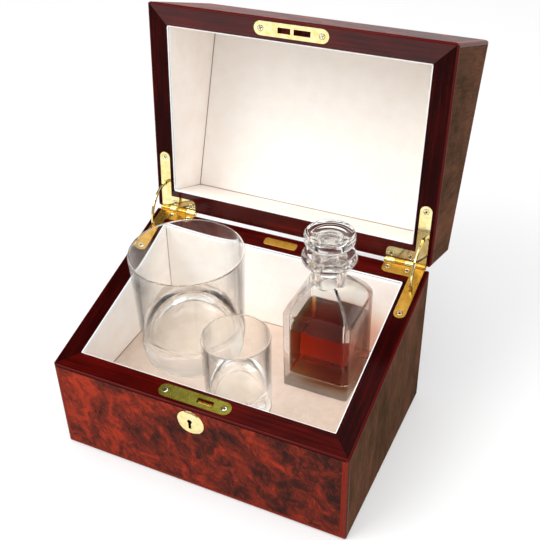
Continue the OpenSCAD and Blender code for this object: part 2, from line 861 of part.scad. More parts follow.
// The post that a pipe key turns on
module key_post() {
    color(steel_colour) translate([lock_x, lock_cavity_back, keyhole_z]) rotate([90, 0, 0])
        cylinder(h = lock_cavity_back - lock_case_front + 2 * lock_wall_t, r = keyhole_r / 2);
}

// A bent leaf spring that presses on the bolt's tail
module bolt_spring() {
    z0 = lock_case_top - lock_case_h + lock_wall_t;
    x0 = lock_x - lock_case_w / 2 + lock_wall_t + spring_l / 2 + past;
    color(steel_colour) translate([x0, bolt_y, z0 + spring_r]) rotate([90, 0, 0]) intersection() {
        difference() {
            cylinder(h = spring_w, r = spring_r, center = true);
            cylinder(h = 2 * spring_w, r = spring_r - spring_t, center = true);
        }
        translate([0, -spring_r, 0]) cube([spring_l, spring_l / 2, 2 * spring_w], center = true);
    }
}

// The hooked bolt at its lowest, with the tail that the key lifts
module hook_bolt() {
    hook = [4, 2];
    key_notch = [4, 2];
    y0 = bolt_y - bolt_t / 2;
    x0 = bolt_x - bolt_l / 2;
    tail_top = bolt_top - bolt_head_h;
    color(brass_colour) difference() {
        union() {
            translate([x0, y0, bolt_top - bolt_h]) cube([bolt_l, bolt_t, bolt_h]);
            translate([x0 - bolt_tail_l, y0, bolt_top - bolt_h])
                cube([bolt_l + bolt_tail_l, bolt_t, bolt_h - bolt_head_h]);
        }
        translate([x0 + bolt_l - hook[0], y0 - past, bolt_top - 2 * hook[1]])
            cube([hook[0] + past, bolt_t + 2 * past, hook[1]]);
        translate([lock_x - key_notch[0] / 2, y0 - past, tail_top - key_notch[1]])
            cube([key_notch[0], bolt_t + 2 * past, key_notch[1] + past]);
    }
}

// The round plate at the keyhole, with a spigot that sits in the wood
module escutcheon() {
    bevel = escutcheon_bevel;
    color(brass_colour) difference() {
        translate([lock_x, -half_d, escutcheon_z]) rotate([90, 0, 0]) rotate_extrude() polygon([
            [0, -spigot_l], [spigot_r, -spigot_l], [spigot_r, 0], [escutcheon_r, 0],
            [escutcheon_r, escutcheon_t - bevel], [escutcheon_r - 1.3 * bevel, escutcheon_t - bevel / 4],
            [escutcheon_r - 2.4 * bevel, escutcheon_t], [0, escutcheon_t]]);
        keyhole(-half_d - escutcheon_t - past, -half_d + spigot_l + past, 0);
    }
}

module base_hinge_screws() {
    color(brass_colour) for (side = [LEFT, RIGHT]) on_side(side) at_hinge_screws() screw();
}

// Brass pieces of the lid

module keeper_plate() {
    color(brass_colour) opened() difference() {
        front_plate(0, rim_gap, rim_gap + plate_t);
        bolt_slot(bolt_x, slot_l);
        bolt_slot(blind_slot_x, blind_slot_l);
        mirrored() at_plate_screws() screw_hole();
    }
}

module keeper_screws() {
    color(brass_colour) opened() mirrored() at_plate_screws() screw();
}

module lid_hinge_screws() {
    color(brass_colour) opened() for (side = [LEFT, RIGHT]) on_side(side)
        mirrored() at_hinge_screws() screw();
}

module base_leaf(side) {
    color(brass_colour) on_side(side) leaf(1);
}

// A leaf of the lid. Its knuckles lie between those of the base's leaf.
module lid_leaf(side) {
    color(brass_colour) opened() on_side(side) mirrored() leaf(0);
}

// Glassware

// A straight sided glass with a thick foot, made by turning its section
module turned_glass(rim_r, h, foot_r, foot_h, step, base_t, flat_r, bowl_r, rim_wall_t) {
    lip = rim_wall_t / 2;
    edge = 1.2;
    rotate_extrude($fn = 96) polygon(concat(
        [[0, 0]],
        arc(foot_r - edge, edge, edge, -90, 0, 4),
        [[foot_r, foot_h], [foot_r + step, foot_h + step]],
        arc(rim_r - lip, h - lip, lip, 0, 180, 8),
        arc(flat_r, base_t + bowl_r, bowl_r, 0, -90, 12),
        [[0, base_t]]));
}

module tumbler() {
    color(glass_colour, 0.5) translate([tumbler_x, tumbler_y, floor_z])
        turned_glass(tumbler_r, tumbler_h, foot_r = tumbler_r - 4.6, foot_h = 9, step = 1.4,
            base_t = 14, flat_r = tumbler_r - 22.1, bowl_r = 17.5, rim_wall_t = 1.7);
}

module shot_glass() {
    color(glass_colour, 0.5) translate([shot_x, shot_y, floor_z])
        turned_glass(shot_r, shot_h, foot_r = shot_r - 1.1, foot_h = 2, step = 0.1,
            base_t = 15, flat_r = shot_r - 14.4, bowl_r = 11.6, rim_wall_t = 1.5);
}

// Where the decanter stands
module decanter_place() {
    translate([decanter_x, decanter_y, floor_z]) children();
}

// The shoulder's form, inset all round: four curved sides that meet in ridges
module shoulder(inset, h) {
    w = decanter_w - 2 * inset;
    c = arc_centre([decanter_w / 2, 0], [neck_r / sqrt(2), shoulder_h], shoulder_r);
    intersection() {
        vault(c, inset, h);
        rotate([0, 0, 90]) vault(c, inset, h);
        linear_extrude(h) rounded_rect(w, w, decanter_corner_r);
    }
}

// A vault along Y whose two curved sides have their centres at c and at its mirror image
module vault(c, inset, h) {
    rotate([90, 0, 0]) linear_extrude(decanter_w, center = true) intersection() {
        vault_side(c, inset);
        mirror([1, 0]) vault_side(c, inset);
        translate([-decanter_w / 2, 0]) square([decanter_w, h]);
    }
}

// The circle of one curved side of a vault
module vault_side(c, inset) {
    translate(c) circle(shoulder_r - inset, $fn = 128);
}

// Space for the spirit, smaller by gap on every side, from the bottom up to height z1
module decanter_hollow(gap, z1) {
    w = decanter_w - 2 * decanter_wall_t - 2 * gap;
    translate([0, 0, decanter_base_t + gap]) linear_extrude(z1 - decanter_base_t - gap)
        rounded_rect(w, w, decanter_corner_r);
}

module decanter() {
    color(glass_colour, 0.5) decanter_place() difference() {
        union() {
            linear_extrude(decanter_side_h) rounded_rect(decanter_w, decanter_w, decanter_corner_r);
            translate([0, 0, decanter_side_h - eps]) shoulder(0, shoulder_h);
            translate([0, 0, decanter_side_h]) cylinder(h = decanter_h - decanter_side_h, r = neck_r);
            translate([0, 0, decanter_h - collar_t]) {
                rotate_extrude() translate([collar_r - collar_t / 2, collar_t / 2]) circle(collar_t / 2);
                cylinder(h = collar_t, r = collar_r - collar_t / 2);
            }
        }
        decanter_hollow(0, decanter_side_h);
        translate([0, 0, decanter_side_h - eps]) shoulder(decanter_wall_t, shoulder_h - decanter_wall_t);
        translate([0, 0, decanter_side_h]) cylinder(h = decanter_h, r = mouth_r - plug_taper);
        translate([0, 0, decanter_h - plug_l]) cylinder(h = plug_l, r1 = mouth_r - plug_taper, r2 = mouth_r);
        translate([0, 0, decanter_h - eps]) cylinder(h = past, r = mouth_r);
    }
}

module spirit() {
    color(spirit_colour, 0.8) decanter_place() decanter_hollow(spirit_play, spirit_level);
}

// The stopper, with a dished disc on a waist and a ground plug in the neck
module stopper() {
    edge = stopper_edge_r;
    plug_r = mouth_r - plug_play;
    dish = [[stopper_r - 5.5, stopper_h - 0.4], [stopper_r - 8, stopper_h - 1.6], [0, stopper_h - 2.4]];
    section = concat(
        [[0, -plug_l], [plug_r - plug_taper, -plug_l], [plug_r, 0], [plug_r, stopper_seat]],
        [[stopper_stem_r, stopper_seat]],
        arc(stopper_stem_r + edge, stopper_stem_h - edge, edge, 180, 100, 6),
        arc(stopper_r - edge, stopper_stem_h + edge, edge, -90, 0, 6),
        arc(stopper_r - edge, stopper_h - edge, edge, 0, 90, 6),
        dish);
    color(glass_colour, 0.5) decanter_place() translate([0, 0, decanter_h])
        rotate_extrude() polygon(section);
}

base_wall(FRONT);  // base_front_wall
base_wall(BACK);  // base_back_wall
base_wall(LEFT);  // base_left_wall
base_wall(RIGHT);  // base_right_wall
base_rim(FRONT);  // base_rim_front
base_rim(BACK);  // base_rim_back
base_rim(LEFT);  // base_rim_left
base_rim(RIGHT);  // base_rim_right
bottom_board();
baize();
floor_board();
floor_side_bearers();
floor_cross_bearers();
base_lining(FRONT);  // base_lining_front
base_lining(BACK);  // base_lining_back
base_lining(LEFT);  // base_lining_left
base_lining(RIGHT);  // base_lining_right
floor_lining();
plaque();
lock_plate();
lock_case();
lock_cover();
key_post();
bolt_spring();
hook_bolt();
lock_screws();
escutcheon();
base_leaf(LEFT);  // hinge_base_left
base_leaf(RIGHT);  // hinge_base_right
color(brass_colour) on_side(LEFT) hinge_pin();  // hinge_pin_left
color(brass_colour) on_side(RIGHT) hinge_pin();  // hinge_pin_right
base_hinge_screws();
lid_wall(FRONT);  // lid_front_wall
lid_wall(BACK);  // lid_back_wall
lid_wall(LEFT);  // lid_left_wall
lid_wall(RIGHT);  // lid_right_wall
lid_top_board();
lid_rim(FRONT);  // lid_rim_front
lid_rim(BACK);  // lid_rim_back
lid_rim(LEFT);  // lid_rim_left
lid_rim(RIGHT);  // lid_rim_right
lid_lining(FRONT);  // lid_lining_front
lid_lining(BACK);  // lid_lining_back
lid_lining(LEFT);  // lid_lining_left
lid_lining(RIGHT);  // lid_lining_right
lid_lining_panel();
lid_leaf(LEFT);  // hinge_lid_left
lid_leaf(RIGHT);  // hinge_lid_right
lid_hinge_screws();
keeper_plate();
keeper_screws();
color(brass_colour) on_side(LEFT) stay();  // stay_left
color(brass_colour) on_side(RIGHT) stay();  // stay_right
decanter();
spirit();
stopper();
tumbler();
shot_glass();
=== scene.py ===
"""Looks of the tantalus case: a slant cut lacquered box with a lined lid, a decanter and two glasses.

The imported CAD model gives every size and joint. This script dresses it: it gives each wooden, brass and
cloth piece softened edges and its own finish, builds the glassware and the screws in detail, and sets the
camera and the studio light. Lengths are metres here, and the dataclasses give their sizes in millimetres.
"""

import logging
import math
from dataclasses import dataclass, field, replace
from enum import Enum

import bmesh
import bpy
from mathutils import Matrix, Vector


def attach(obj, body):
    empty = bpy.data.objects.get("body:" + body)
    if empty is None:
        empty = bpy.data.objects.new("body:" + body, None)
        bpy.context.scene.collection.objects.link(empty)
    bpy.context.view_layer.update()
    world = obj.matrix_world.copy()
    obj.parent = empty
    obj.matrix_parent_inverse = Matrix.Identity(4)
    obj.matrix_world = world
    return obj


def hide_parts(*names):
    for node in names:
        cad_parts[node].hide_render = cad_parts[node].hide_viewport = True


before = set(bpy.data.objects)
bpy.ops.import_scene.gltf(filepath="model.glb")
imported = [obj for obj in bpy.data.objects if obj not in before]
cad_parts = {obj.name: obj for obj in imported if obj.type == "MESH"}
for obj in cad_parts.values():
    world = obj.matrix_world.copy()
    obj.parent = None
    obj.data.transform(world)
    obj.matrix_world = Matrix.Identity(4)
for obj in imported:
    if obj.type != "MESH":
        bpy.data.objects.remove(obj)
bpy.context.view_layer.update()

LOG = logging.getLogger("tantalus")
MM = 0.001
Socket = bpy.types.NodeSocket
# Numbers of the Mix node's two colour inputs and of its colour output
MIX_A, MIX_B, MIX_COLOUR = 6, 7, 2


class Half(Enum):
    """The half of the case that a piece belongs to."""

    BASE = "base"
    LID = "lid"


class Run(Enum):
    """The way in which a wooden piece's grain runs, in the closed case."""

    ACROSS = "left to right"
    BACKWARDS = "front to back, along the slope"


class Polish(Enum):
    """How a brass piece was finished after it was cut."""

    BUFFED = "buffed to a mirror"
    SATIN = "fine satin, as rolled sheet is"
    PLATED = "bright plated, as the screws are"
    LACQUERED = "brushed and lacquered, gone olive with age"


@dataclass(frozen=True)
class CaseShape:
    """The case's leading sizes in millimetres, as in the part's source."""

    half_w: float = 120.0
    half_d: float = 83.75
    front_h: float = 84.0
    back_h: float = 128.0
    floor_z: float = 42.7
    panel_z: float = 179.2
    face_x: float = 108.0
    face_y: float = 71.75
    rim_w: float = 15.8
    rim_gap: float = 0.3
    lining_show: float = 0.9
    open_angle: float = 109.5
    hinge_out: float = 1.0

    @property
    def slope(self) -> float:
        """Slope of the rims in radians."""
        return math.atan2(self.back_h - self.front_h, 2 * self.half_d)

    @property
    def hinge(self) -> Vector:
        """A point of the hinge's axis in metres, on the case's middle plane."""
        n = self.rim_gap / 2
        s = (2 * self.half_d + self.hinge_out) / math.cos(self.slope) + n * math.tan(self.slope)
        return self.rim_point(0, s, n)

    @property
    def mitre_offset(self) -> float:
        """How far a corner's mitre plane keeps the depth behind the width."""
        return self.half_w - self.half_d

    def rim_point(self, x: float, s: float, n: float) -> Vector:
        """Turns a place on the rim into a point.

        Args:
            x: Place to the right of the middle.
            s: Distance up the slope from the front edge.
            n: Height off the base's rim.

        Returns:
            The point in metres.
        """
        c, t = math.cos(self.slope), math.sin(self.slope)
        return Vector((x, -self.half_d + s * c - n * t, self.front_h + s * t + n * c)) * MM

    def rim_normal(self) -> Vector:
        """The direction square to the rim, out of the base."""
        return Vector((0, -math.sin(self.slope), math.cos(self.slope)))

    def opening(self) -> Matrix:
        """The turn that takes the closed lid to where it stands open."""
        at = Matrix.Translation(self.hinge)
        return at @ Matrix.Rotation(math.radians(-self.open_angle), 4, "X") @ at.inverted()


CASE = CaseShape()


def linear(colour: str) -> tuple[float, float, float, float]:
    """Turns an sRGB hex colour into Blender's linear values.

    Args:
        colour: A colour such as "#b5402c".

    Returns:
        Red, green, blue and an alpha of 1.
    """
    parts = [int(colour[i : i + 2], 16) / 255 for i in (1, 3, 5)]
    low = [p / 12.92 if p <= 0.04045 else ((p + 0.055) / 1.055) ** 2.4 for p in parts]
    return (low[0], low[1], low[2], 1.0)


def per_mm(size: float) -> float:
    """The scale at which a pattern on Object coordinates has features of a size in millimetres."""
    return 1.0 / (size * MM)


def add_node(
    tree: bpy.types.NodeTree,
    kind: str,
    inputs: dict | None = None,
    stops: list[tuple[float, str]] | None = None,
    **settings,
) -> bpy.types.Node:
    """Adds a node with its settings, values and links.

    Args:
        tree: The tree that gets the node.
        kind: The node's type name.
        inputs: Values or sockets by the input's name or number. A hex string gives a colour, and a
            list links several sockets.
        stops: Places and hex colours of a colour ramp.
        settings: The node's own properties.

    Returns:
        The new node.
    """
    node = tree.nodes.new(kind)
    for name, value in settings.items():
        setattr(node, name, value)
    for key, value in (inputs or {}).items():
        if isinstance(value, (Socket, list)):
            for socket in value if isinstance(value, list) else [value]:
                tree.links.new(socket, node.inputs[key])
        elif isinstance(value, str) and value.startswith("#"):
            node.inputs[key].default_value = linear(value)
        else:
            node.inputs[key].default_value = value
    if stops:
        points = node.color_ramp.elements
        while len(points) < len(stops):
            points.new(0.5)
        for point, (place, _) in zip(points, stops):
            point.position = place
        for point, (_, colour) in zip(points, stops):
            point.color = linear(colour)
    return node


@dataclass(frozen=True)
class Clouds:
    """Cloud noise with features of a real size.

    Attributes:
        size: Size of the features in millimetres.
        detail: Finer layers on top.
        rough: Strength of the finer layers.
        stretch: How much longer the features are along each axis.
        share: How much it counts in the figure.
        twist: Distortion.
    """

    size: float
    detail: float = 3.0
    rough: float = 0.55
    stretch: tuple[float, float, float] = (1, 1, 1)
    share: float = 1.0
    twist: float = 0.0

    def along(self, run: Run, length: float, rise: float) -> "Clouds":
        """Draws the features out along a rim.

        Args:
            run: The way in which the rim's grain runs.
            length: How much longer they are along it.
            rise: How much taller they are on a rim that climbs the slope.

        Returns:
            The longer clouds.
        """
        return replace(self, stretch=(length, 1, 1) if run is Run.ACROSS else (1, length, rise))


class Surface:
    """A material being built, with the coordinates of the closed case and a Principled shader."""

    def __init__(self, name: str, half: Half = Half.BASE, **shader) -> None:
        """Starts a material.

        Args:
            name: The material's name.
            half: The half of the case. The lid's pattern is turned back to the closed lid.
            shader: Values of the shader's inputs, with underscores for spaces.
        """
        self.material = bpy.data.materials.new(name)
        self.material.use_nodes = True
        self.tree = self.material.node_tree
        self.tree.nodes.clear()
        self.out = add_node(self.tree, "ShaderNodeOutputMaterial")
        values = {key.replace("_", " "): value for key, value in shader.items()}
        self.shader = add_node(self.tree, "ShaderNodeBsdfPrincipled", values)
        self.tree.links.new(self.shader.outputs[0], self.out.inputs[0])
        self.place = self.add("TexCoord", out="Object")
        if half is Half.LID:
            back = CASE.opening().inverted()
            self.place = self.add("Mapping", {
                "Vector": self.place, "Location": back.translation, "Rotation": back.to_euler(),
            })

    def add(self, kind: str, *values, out: int | str = 0, **settings) -> Socket:
        """Adds a shader node.

        Args:
            kind: The node's type name after "ShaderNode".
            values: Its inputs in order, or one dictionary of them by name or number.
            out: The name or number of the output to give back.
            settings: The node's own properties, or the stops of its ramp.

        Returns:
            The output's socket.
        """
        named = bool(values) and isinstance(values[0], dict)
        inputs = values[0] if named else dict(enumerate(values))
        return add_node(self.tree, f"ShaderNode{kind}", inputs, **settings).outputs[out]

    def feed(self, name: str, socket: Socket) -> None:
        """Links a socket to one of the shader's inputs.

        Args:
            name: The input's name.
            socket: What drives it.
        """
        self.tree.links.new(socket, self.shader.inputs[name])

    def axes(self) -> tuple:
        """Splits the place into the sockets of its X, Y and Z."""
        return tuple(add_node(self.tree, "ShaderNodeSeparateXYZ", {0: self.place}).outputs)

    def clouds(self, look: Clouds, place: Socket | None = None, out: int = 0) -> Socket:
        """Covers the piece with cloud noise of a real size.

        Args:
            look: The noise.
            place: The coordinates, or None for the piece's own.
            out: 0 for the noise's value, 1 for its colour.

        Returns:
            The noise's socket.
        """
        scaled = self.add("Mapping", {
            "Vector": place or self.place, "Scale": tuple(1 / s for s in look.stretch),
        })
        return self.add("TexNoise", {
            "Vector": scaled, "Scale": per_mm(look.size), "Detail": look.detail,
            "Roughness": look.rough, "Distortion": look.twist,
        }, out=out)

    def total(self, *parts: tuple) -> Socket:
        """Adds up sockets, each times its share.

        Args:
            parts: Pairs of a socket and its share.

        Returns:
            The sum's socket.
        """
        total = 0.0
        for socket, share in parts:
            total = self.add("Math", socket, share, total, operation="MULTIPLY_ADD")
        return total

    def warped(self, size: float, reach: float) -> Socket:
        """Bends the coordinates by a soft noise.

        Args:
            size: Size of the bends in millimetres.
            reach: How far a point moves in millimetres.

        Returns:
            The socket of the bent coordinates.
        """
        colour = self.clouds(Clouds(size, 2.0), out=1)
        centred = self.add("VectorMath", colour, (0.5, 0.5, 0.5), operation="SUBTRACT")
        far = (2 * reach * MM,) * 3
        return self.add("VectorMath", centred, far, self.place, operation="MULTIPLY_ADD")

    def over(self, under: Socket | str, colour: Socket | str, mask: Socket, share: float = 1.0) -> Socket:
        """Lays a colour over another.

        Args:
            under: The colour below, as a socket or hex value.
            colour: The colour on top, as a socket or hex value.
            mask: Socket that is 1 where the top colour lies.
            share: How much of it shows there.

        Returns:
            The result's socket.
        """
        factor = self.add("Math", mask, share, operation="MULTIPLY")
        return self.add("Mix", {0: factor, MIX_A: under, MIX_B: colour}, out=MIX_COLOUR, data_type="RGBA")

    def insets(self, half_w: float, half_d: float) -> list[Socket]:
        """Measures how far a point lies inside an upright box round the origin.

        Args:
            half_w: Half of the box's width in millimetres.
            half_d: Half of its depth.

        Returns:
            The sockets of the distances from its sides and from its front or back, in metres.
        """
        x, y, _ = self.axes()
        out = []
        for half, axis in ((half_w, x), (half_d, y)):
            away = self.add("Math", axis, operation="ABSOLUTE")
            out.append(self.add("Math", half * MM, away, operation="SUBTRACT"))
        return out

    def rim_height(self) -> Socket:
        """Height off the rim's plane, either way, in metres."""
        _, y, z = self.axes()
        c, t = math.cos(CASE.slope), math.sin(CASE.slope)
        start = -CASE.front_h * MM * c - CASE.half_d * MM * t
        up = self.add("Math", z, c, start, operation="MULTIPLY_ADD")
        return self.add("Math", self.add("Math", y, -t, up, operation="MULTIPLY_ADD"), operation="ABSOLUTE")

    def mitre_distance(self) -> Socket:
        """Distance from the nearest corner's mitre, in metres."""
        x, y = (self.add("Math", axis, operation="ABSOLUTE") for axis in self.axes()[:2])
        gap = self.add("Math", x, y, operation="SUBTRACT")
        past = self.add("Math", gap, CASE.mitre_offset * MM, operation="SUBTRACT")
        return self.add("Math", past, operation="ABSOLUTE")

    def below(self, value: Socket, limit: float, soft: float) -> Socket:
        """Turns a length into a soft mask.

        Args:
            value: Socket of a length in metres.
            limit: Length in millimetres below which the mask is 1.
            soft: Length in millimetres over which it falls to 0.

        Returns:
            The mask's socket.
        """
        ends = (limit * MM, (limit + soft) * MM)
        return self.add("MapRange", value, *ends, 1.0, 0.0, interpolation_type="SMOOTHSTEP")

    def done(
        self, colour: Socket | None, height: Socket, depth: float, strength: float
    ) -> bpy.types.Material:
        """Feeds the shader its colour and its relief.

        Args:
            colour: Socket of the colour, or None for one that is set already.
            height: Socket of the relief's height, 0 to 1.
            depth: What a height of 1 means, in millimetres.
            strength: Strength of the relief.

        Returns:
            The finished material.
        """
        if colour:
            self.feed("Base Color", colour)
        relief = {"Height": height, "Distance": depth * MM, "Strength": strength}
        self.feed("Normal", self.add("Bump", relief))
        return self.material

    def let_lamps_through(self) -> None:
        """Lets the lamps' light through clear glass, which would otherwise throw a dark shadow."""
        clear = self.add("BsdfTransparent", {"Color": "#ffffff"})
        shadow = self.add("LightPath", out="Is Shadow Ray")
        both = self.add("MixShader", shadow, self.shader.outputs[0], clear)
        self.tree.links.new(both, self.out.inputs["Surface"])


@dataclass(frozen=True)
class BurlVeneer:
    """Figured burl veneer, stained red and sprayed with clear lacquer that was rubbed to a gloss."""

    name: str = "burl_veneer_lacquered"
    dark: str = "#301a17"
    low: str = "#4c2019"
    mid: str = "#70281c"
    bright: str = "#a83620"
    lipping: str = "#8e2c1a"
    lipping_dark: str = "#6c1e13"
    patches: Clouds = Clouds(21.0, 6.0, 0.68, (1, 1, 1.2), share=0.78, twist=0.5)
    fibres: Clouds = Clouds(3.2, 4.0, 0.7, (1, 1, 3.5), share=0.36, twist=0.8)
    # Real pores are 0.1 to 0.2 mm wide, too fine to show, so these two are drawn as coarse as they need
    fine: Clouds = Clouds(0.8, 2.0, 0.6, share=0.14)
    grain: Clouds = Clouds(0.9, 3.0, 0.6, (1, 1, 20))
    bend: float = 26.0
    bend_reach: float = 9.0
    lean: float = 35.0
    left_end: float = 0.055
    right_end: float = -0.045
    corner_w: float = 4.6
    corner_soft: float = 0.6
    bottom_h: float = 4.2
    bottom_soft: float = 1.6

    def material(self, half: Half) -> bpy.types.Material:
        """Builds the veneer. Soft red clouds over dark ones, drawn out into fibres that curl.

        Args:
            half: The half of the case it covers.

        Returns:
            The material.
        """
        s = Surface(
            f"{self.name}_{half.value}", half,
            Roughness=0.3, IOR=1.05, Coat_Weight=0.06, Coat_Roughness=0.05,
        )
        bent = s.warped(self.bend, self.bend_reach)
        turned = s.add("Mapping", {"Vector": bent, "Rotation": (0, math.radians(self.lean), 0)})
        fine = s.clouds(self.fine)
        mixed = s.total(
            (s.clouds(self.patches, bent), self.patches.share),
            (s.clouds(self.fibres, turned), self.fibres.share),
            (fine, self.fine.share),
        )
        # One sheet of the veneer runs across the front, redder at its left end
        x, _, z = s.axes()
        half_w = CASE.half_w * MM
        across = s.add("MapRange", x, -half_w, half_w, self.left_end, self.right_end)
        mixed = s.add("Math", mixed, across, operation="ADD")
        figure = s.add("ValToRGB", mixed, stops=[
            (0.52, self.dark), (0.59, self.low), (0.67, self.mid), (0.79, self.bright),
        ])
        # The plain lipping that shows at the upright corners and along the bottom
        corner = s.add("Math", *s.insets(CASE.half_w, CASE.half_d), operation="MAXIMUM")
        upright = s.below(corner, self.corner_w, self.corner_soft)
        bottom = s.below(z, self.bottom_h, self.bottom_soft)
        edge = s.add("Math", upright, bottom, operation="MAXIMUM")
        stops = [(0.3, self.lipping_dark), (0.7, self.lipping)]
        plain = s.add("ValToRGB", s.clouds(self.grain), stops=stops)
        return s.done(s.over(figure, plain, edge), fine, depth=0.02, strength=0.25)


@dataclass(frozen=True)
class SideVeneer:
    """Plainer veneer of the case's sides, browner, with fine upright grain under the same lacquer."""

    name: str = "side_veneer_lacquered"
    dark: str = "#44301f"
    mid: str = "#5c3f2e"
    bright: str = "#764c39"
    lipping: str = "#4e2418"
    patches: Clouds = Clouds(22.0, 4.0, 0.6, (1, 1, 2.4), share=0.55)
    # Real grain lines and pores are about 0.2 mm wide, too fine to show, so they are drawn coarser
    lines: Clouds = Clouds(0.9, 3.0, 0.65, (1, 1, 26), share=0.35)
    pores: Clouds = Clouds(0.7, 2.0, 0.7, (1, 1, 5), share=0.22)
    bend: float = 30.0
    bend_reach: float = 8.0
    lipping_w: float = 2.4
    corner_soft: float = 1.2
    bottom_soft: float = 1.0

    def material(self, half: Half) -> bpy.types.Material:
        """Builds the veneer. Hair thin upright lines over slow reddish clouds.

        Args:
            half: The half of the case it covers.

        Returns:
            The material.
        """
        s = Surface(
            f"{self.name}_{half.value}", half,
            Roughness=0.4, IOR=1.0, Coat_Weight=0.02, Coat_Roughness=0.1,
        )
        lines = s.clouds(self.lines)
        mixed = s.total(
            (s.clouds(self.patches, s.warped(self.bend, self.bend_reach)), self.patches.share),
            (lines, self.lines.share),
            (s.clouds(self.pores), self.pores.share),
        )
        stops = [(0.44, self.dark), (0.56, self.mid), (0.70, self.bright)]
        figure = s.add("ValToRGB", mixed, stops=stops)
        corner = s.below(s.insets(CASE.half_w, CASE.half_d)[1], self.lipping_w, self.corner_soft)
        bottom = s.below(s.axes()[2], self.lipping_w, self.bottom_soft)
        edge = s.add("Math", corner, bottom, operation="MAXIMUM")
        return s.done(s.over(figure, self.lipping, edge), lines, depth=0.03, strength=0.3)


@dataclass(frozen=True)
class MahoganyLipping:
    """Solid mahogany lipping of the rims, straight grained, stained dark and polished."""

    name: str = "mahogany_lipping_polished"
    across: tuple[str, str, str] = ("#2c0302", "#420604", "#5c0c06")
    # Painted shade: the rims that run front to back are darker than those across, though they lie in the
    # same plane
    backwards: tuple[str, str, str] = ("#180202", "#250303", "#3a0605")
    # The dark of the corner joints, also laid over the rounded outer arris as painted shade
    arris: str = "#140202"
    # Painted highlight: the colour of the pores' bright flecks, which stand for glints of light
    pore_glint: str = "#8a2a20"
    gloss: float = 0.06
    lid_gloss: float = 0.6
    streaks: Clouds = Clouds(1.6, 4.0, 0.6, share=0.55)
    slow: Clouds = Clouds(14.0, 2.0, 0.5, share=0.45)
    # Real mahogany pores are 0.1 to 0.2 mm wide, too fine to show, so they are drawn coarser
    pores: Clouds = Clouds(0.45, 2.0, 0.7)
    pore_level: float = 0.6
    pore_gain: float = 3.0
    pore_glint_share: float = 0.35
    joint_w: float = 0.12
    joint_soft: float = 0.16
    joint_share: float = 0.75
    edge_shade_w: float = 1.1
    edge_shade_soft: float = 0.7
    edge_shade_share: float = 0.85

    def material(self, half: Half, run: Run) -> bpy.types.Material:
        """Builds the wood. Long narrow streaks along the piece, with short pores painted bright as glints of
        light.

        Args:
            half: The half of the case it caps.
            run: The way in which its grain runs.

        Returns:
            The material.
        """
        across = run is Run.ACROSS
        s = Surface(
            f"{self.name}_{half.value}_{run.name.lower()}", half, Roughness=0.25, IOR=1.05,
            Coat_Weight=self.lid_gloss if half is Half.LID and across else self.gloss, Coat_Roughness=0.06,
        )
        streaks = s.clouds(self.streaks.along(run, 40, 12))
        slow = s.clouds(self.slow.along(run, 3, 2))
        mixed = s.total((streaks, self.streaks.share), (slow, self.slow.share))
        # The darker shades of the rims that run front to back are painted shade
        shades = zip((0.36, 0.5, 0.66), self.across if across else self.backwards)
        figure = s.add("ValToRGB", mixed, stops=list(shades))
        pores = s.clouds(self.pores.along(run, 14, 4))
        # Painted highlight: where the pores' noise is high, they are lit up as bright glints
        pore_glints = s.add("Math", pores, self.pore_level, operation="SUBTRACT")
        pore_glints = s.add("Math", pore_glints, self.pore_gain, operation="MULTIPLY", use_clamp=True)
        figure = s.over(figure, self.pore_glint, pore_glints, self.pore_glint_share)
        # A dark hairline where two pieces meet at a corner, and painted shade that darkens the rounded outer
        # arris
        joint = s.below(s.mitre_distance(), self.joint_w, self.joint_soft)
        figure = s.over(figure, self.arris, joint, self.joint_share)
        # Painted shade: the wood within 1.1 mm of the outer faces is darkened to near black, fading over 0.7
        # mm
        outer = s.add("Math", *s.insets(CASE.half_w, CASE.half_d), operation="MINIMUM")
        outer = s.below(outer, self.edge_shade_w, self.edge_shade_soft)
        figure = s.over(figure, self.arris, outer, self.edge_shade_share)
        return s.done(figure, streaks, depth=0.02, strength=0.3)


@dataclass(frozen=True)
class ArrisLacquer:
    """The thick clear lacquer on the wood's rounded edges, where the light runs along in a line."""

    name: str = "arris_lacquer_gloss"
    rim: str = "#5a0c07"
    wall: str = "#862a1a"
    side: str = "#5a2a1c"
    dark: str = "#0e0202"
    coat: float = 0.15
    # The grain is too fine to show on a narrow edge at its real width, so it is drawn coarser
    grain: Clouds = Clouds(1.4, 3.0, 0.6, (12, 4, 4), share=0.35)

    def material(self, place: str, colour: str) -> bpy.types.Material:
        """Builds the lacquered wood of a rounded edge, with a little of the grain under it.

        Args:
            place: A word for the material's name.
            colour: The wood's colour under the lacquer.

        Returns:
            The material.
        """
        s = Surface(
            f"{self.name}_{place}",
            Roughness=0.25, IOR=1.05, Coat_Weight=self.coat, Coat_Roughness=0.03,
        )
        s.feed("Base Color", s.over(colour, self.dark, s.clouds(self.grain), self.grain.share))
        return s.material


@dataclass(frozen=True)
class Suede:
    """Microfibre suede that is glued over thin boards: matt, faintly mottled, with a short nap."""

    name: str = "microsuede"
    patches: Clouds = Clouds(16.0)
    # The real nap's fibres are under 0.1 mm, too fine to show, so it is drawn as coarse as it needs to show
    nap: Clouds = Clouds(1.1)
    sheen: float = 0.15
    sheen_tint: str = "#fff2e6"
    seam: str = "#8a6a58"

    def cloth(self, half: Half, stops: list[tuple[float, str]]) -> tuple:
        """Starts the cloth. The nap gives soft patches.

        Args:
            half: The half of the case it lines.
            stops: Places and colours of its shades.

        Returns:
            The material being built, and the sockets of its colour and its nap.
        """
        s = Surface(
            f"{self.name}_{half.value}", half, Roughness=0.95, Specular_IOR_Level=0.15,
            Sheen_Weight=self.sheen, Sheen_Roughness=0.5, Sheen_Tint=self.sheen_tint,
        )
        nap = s.clouds(self.nap)
        mixed = s.total((s.clouds(self.patches), self.patches.share), (nap, self.nap.share))
        return s, s.add("ValToRGB", mixed, stops=stops), nap


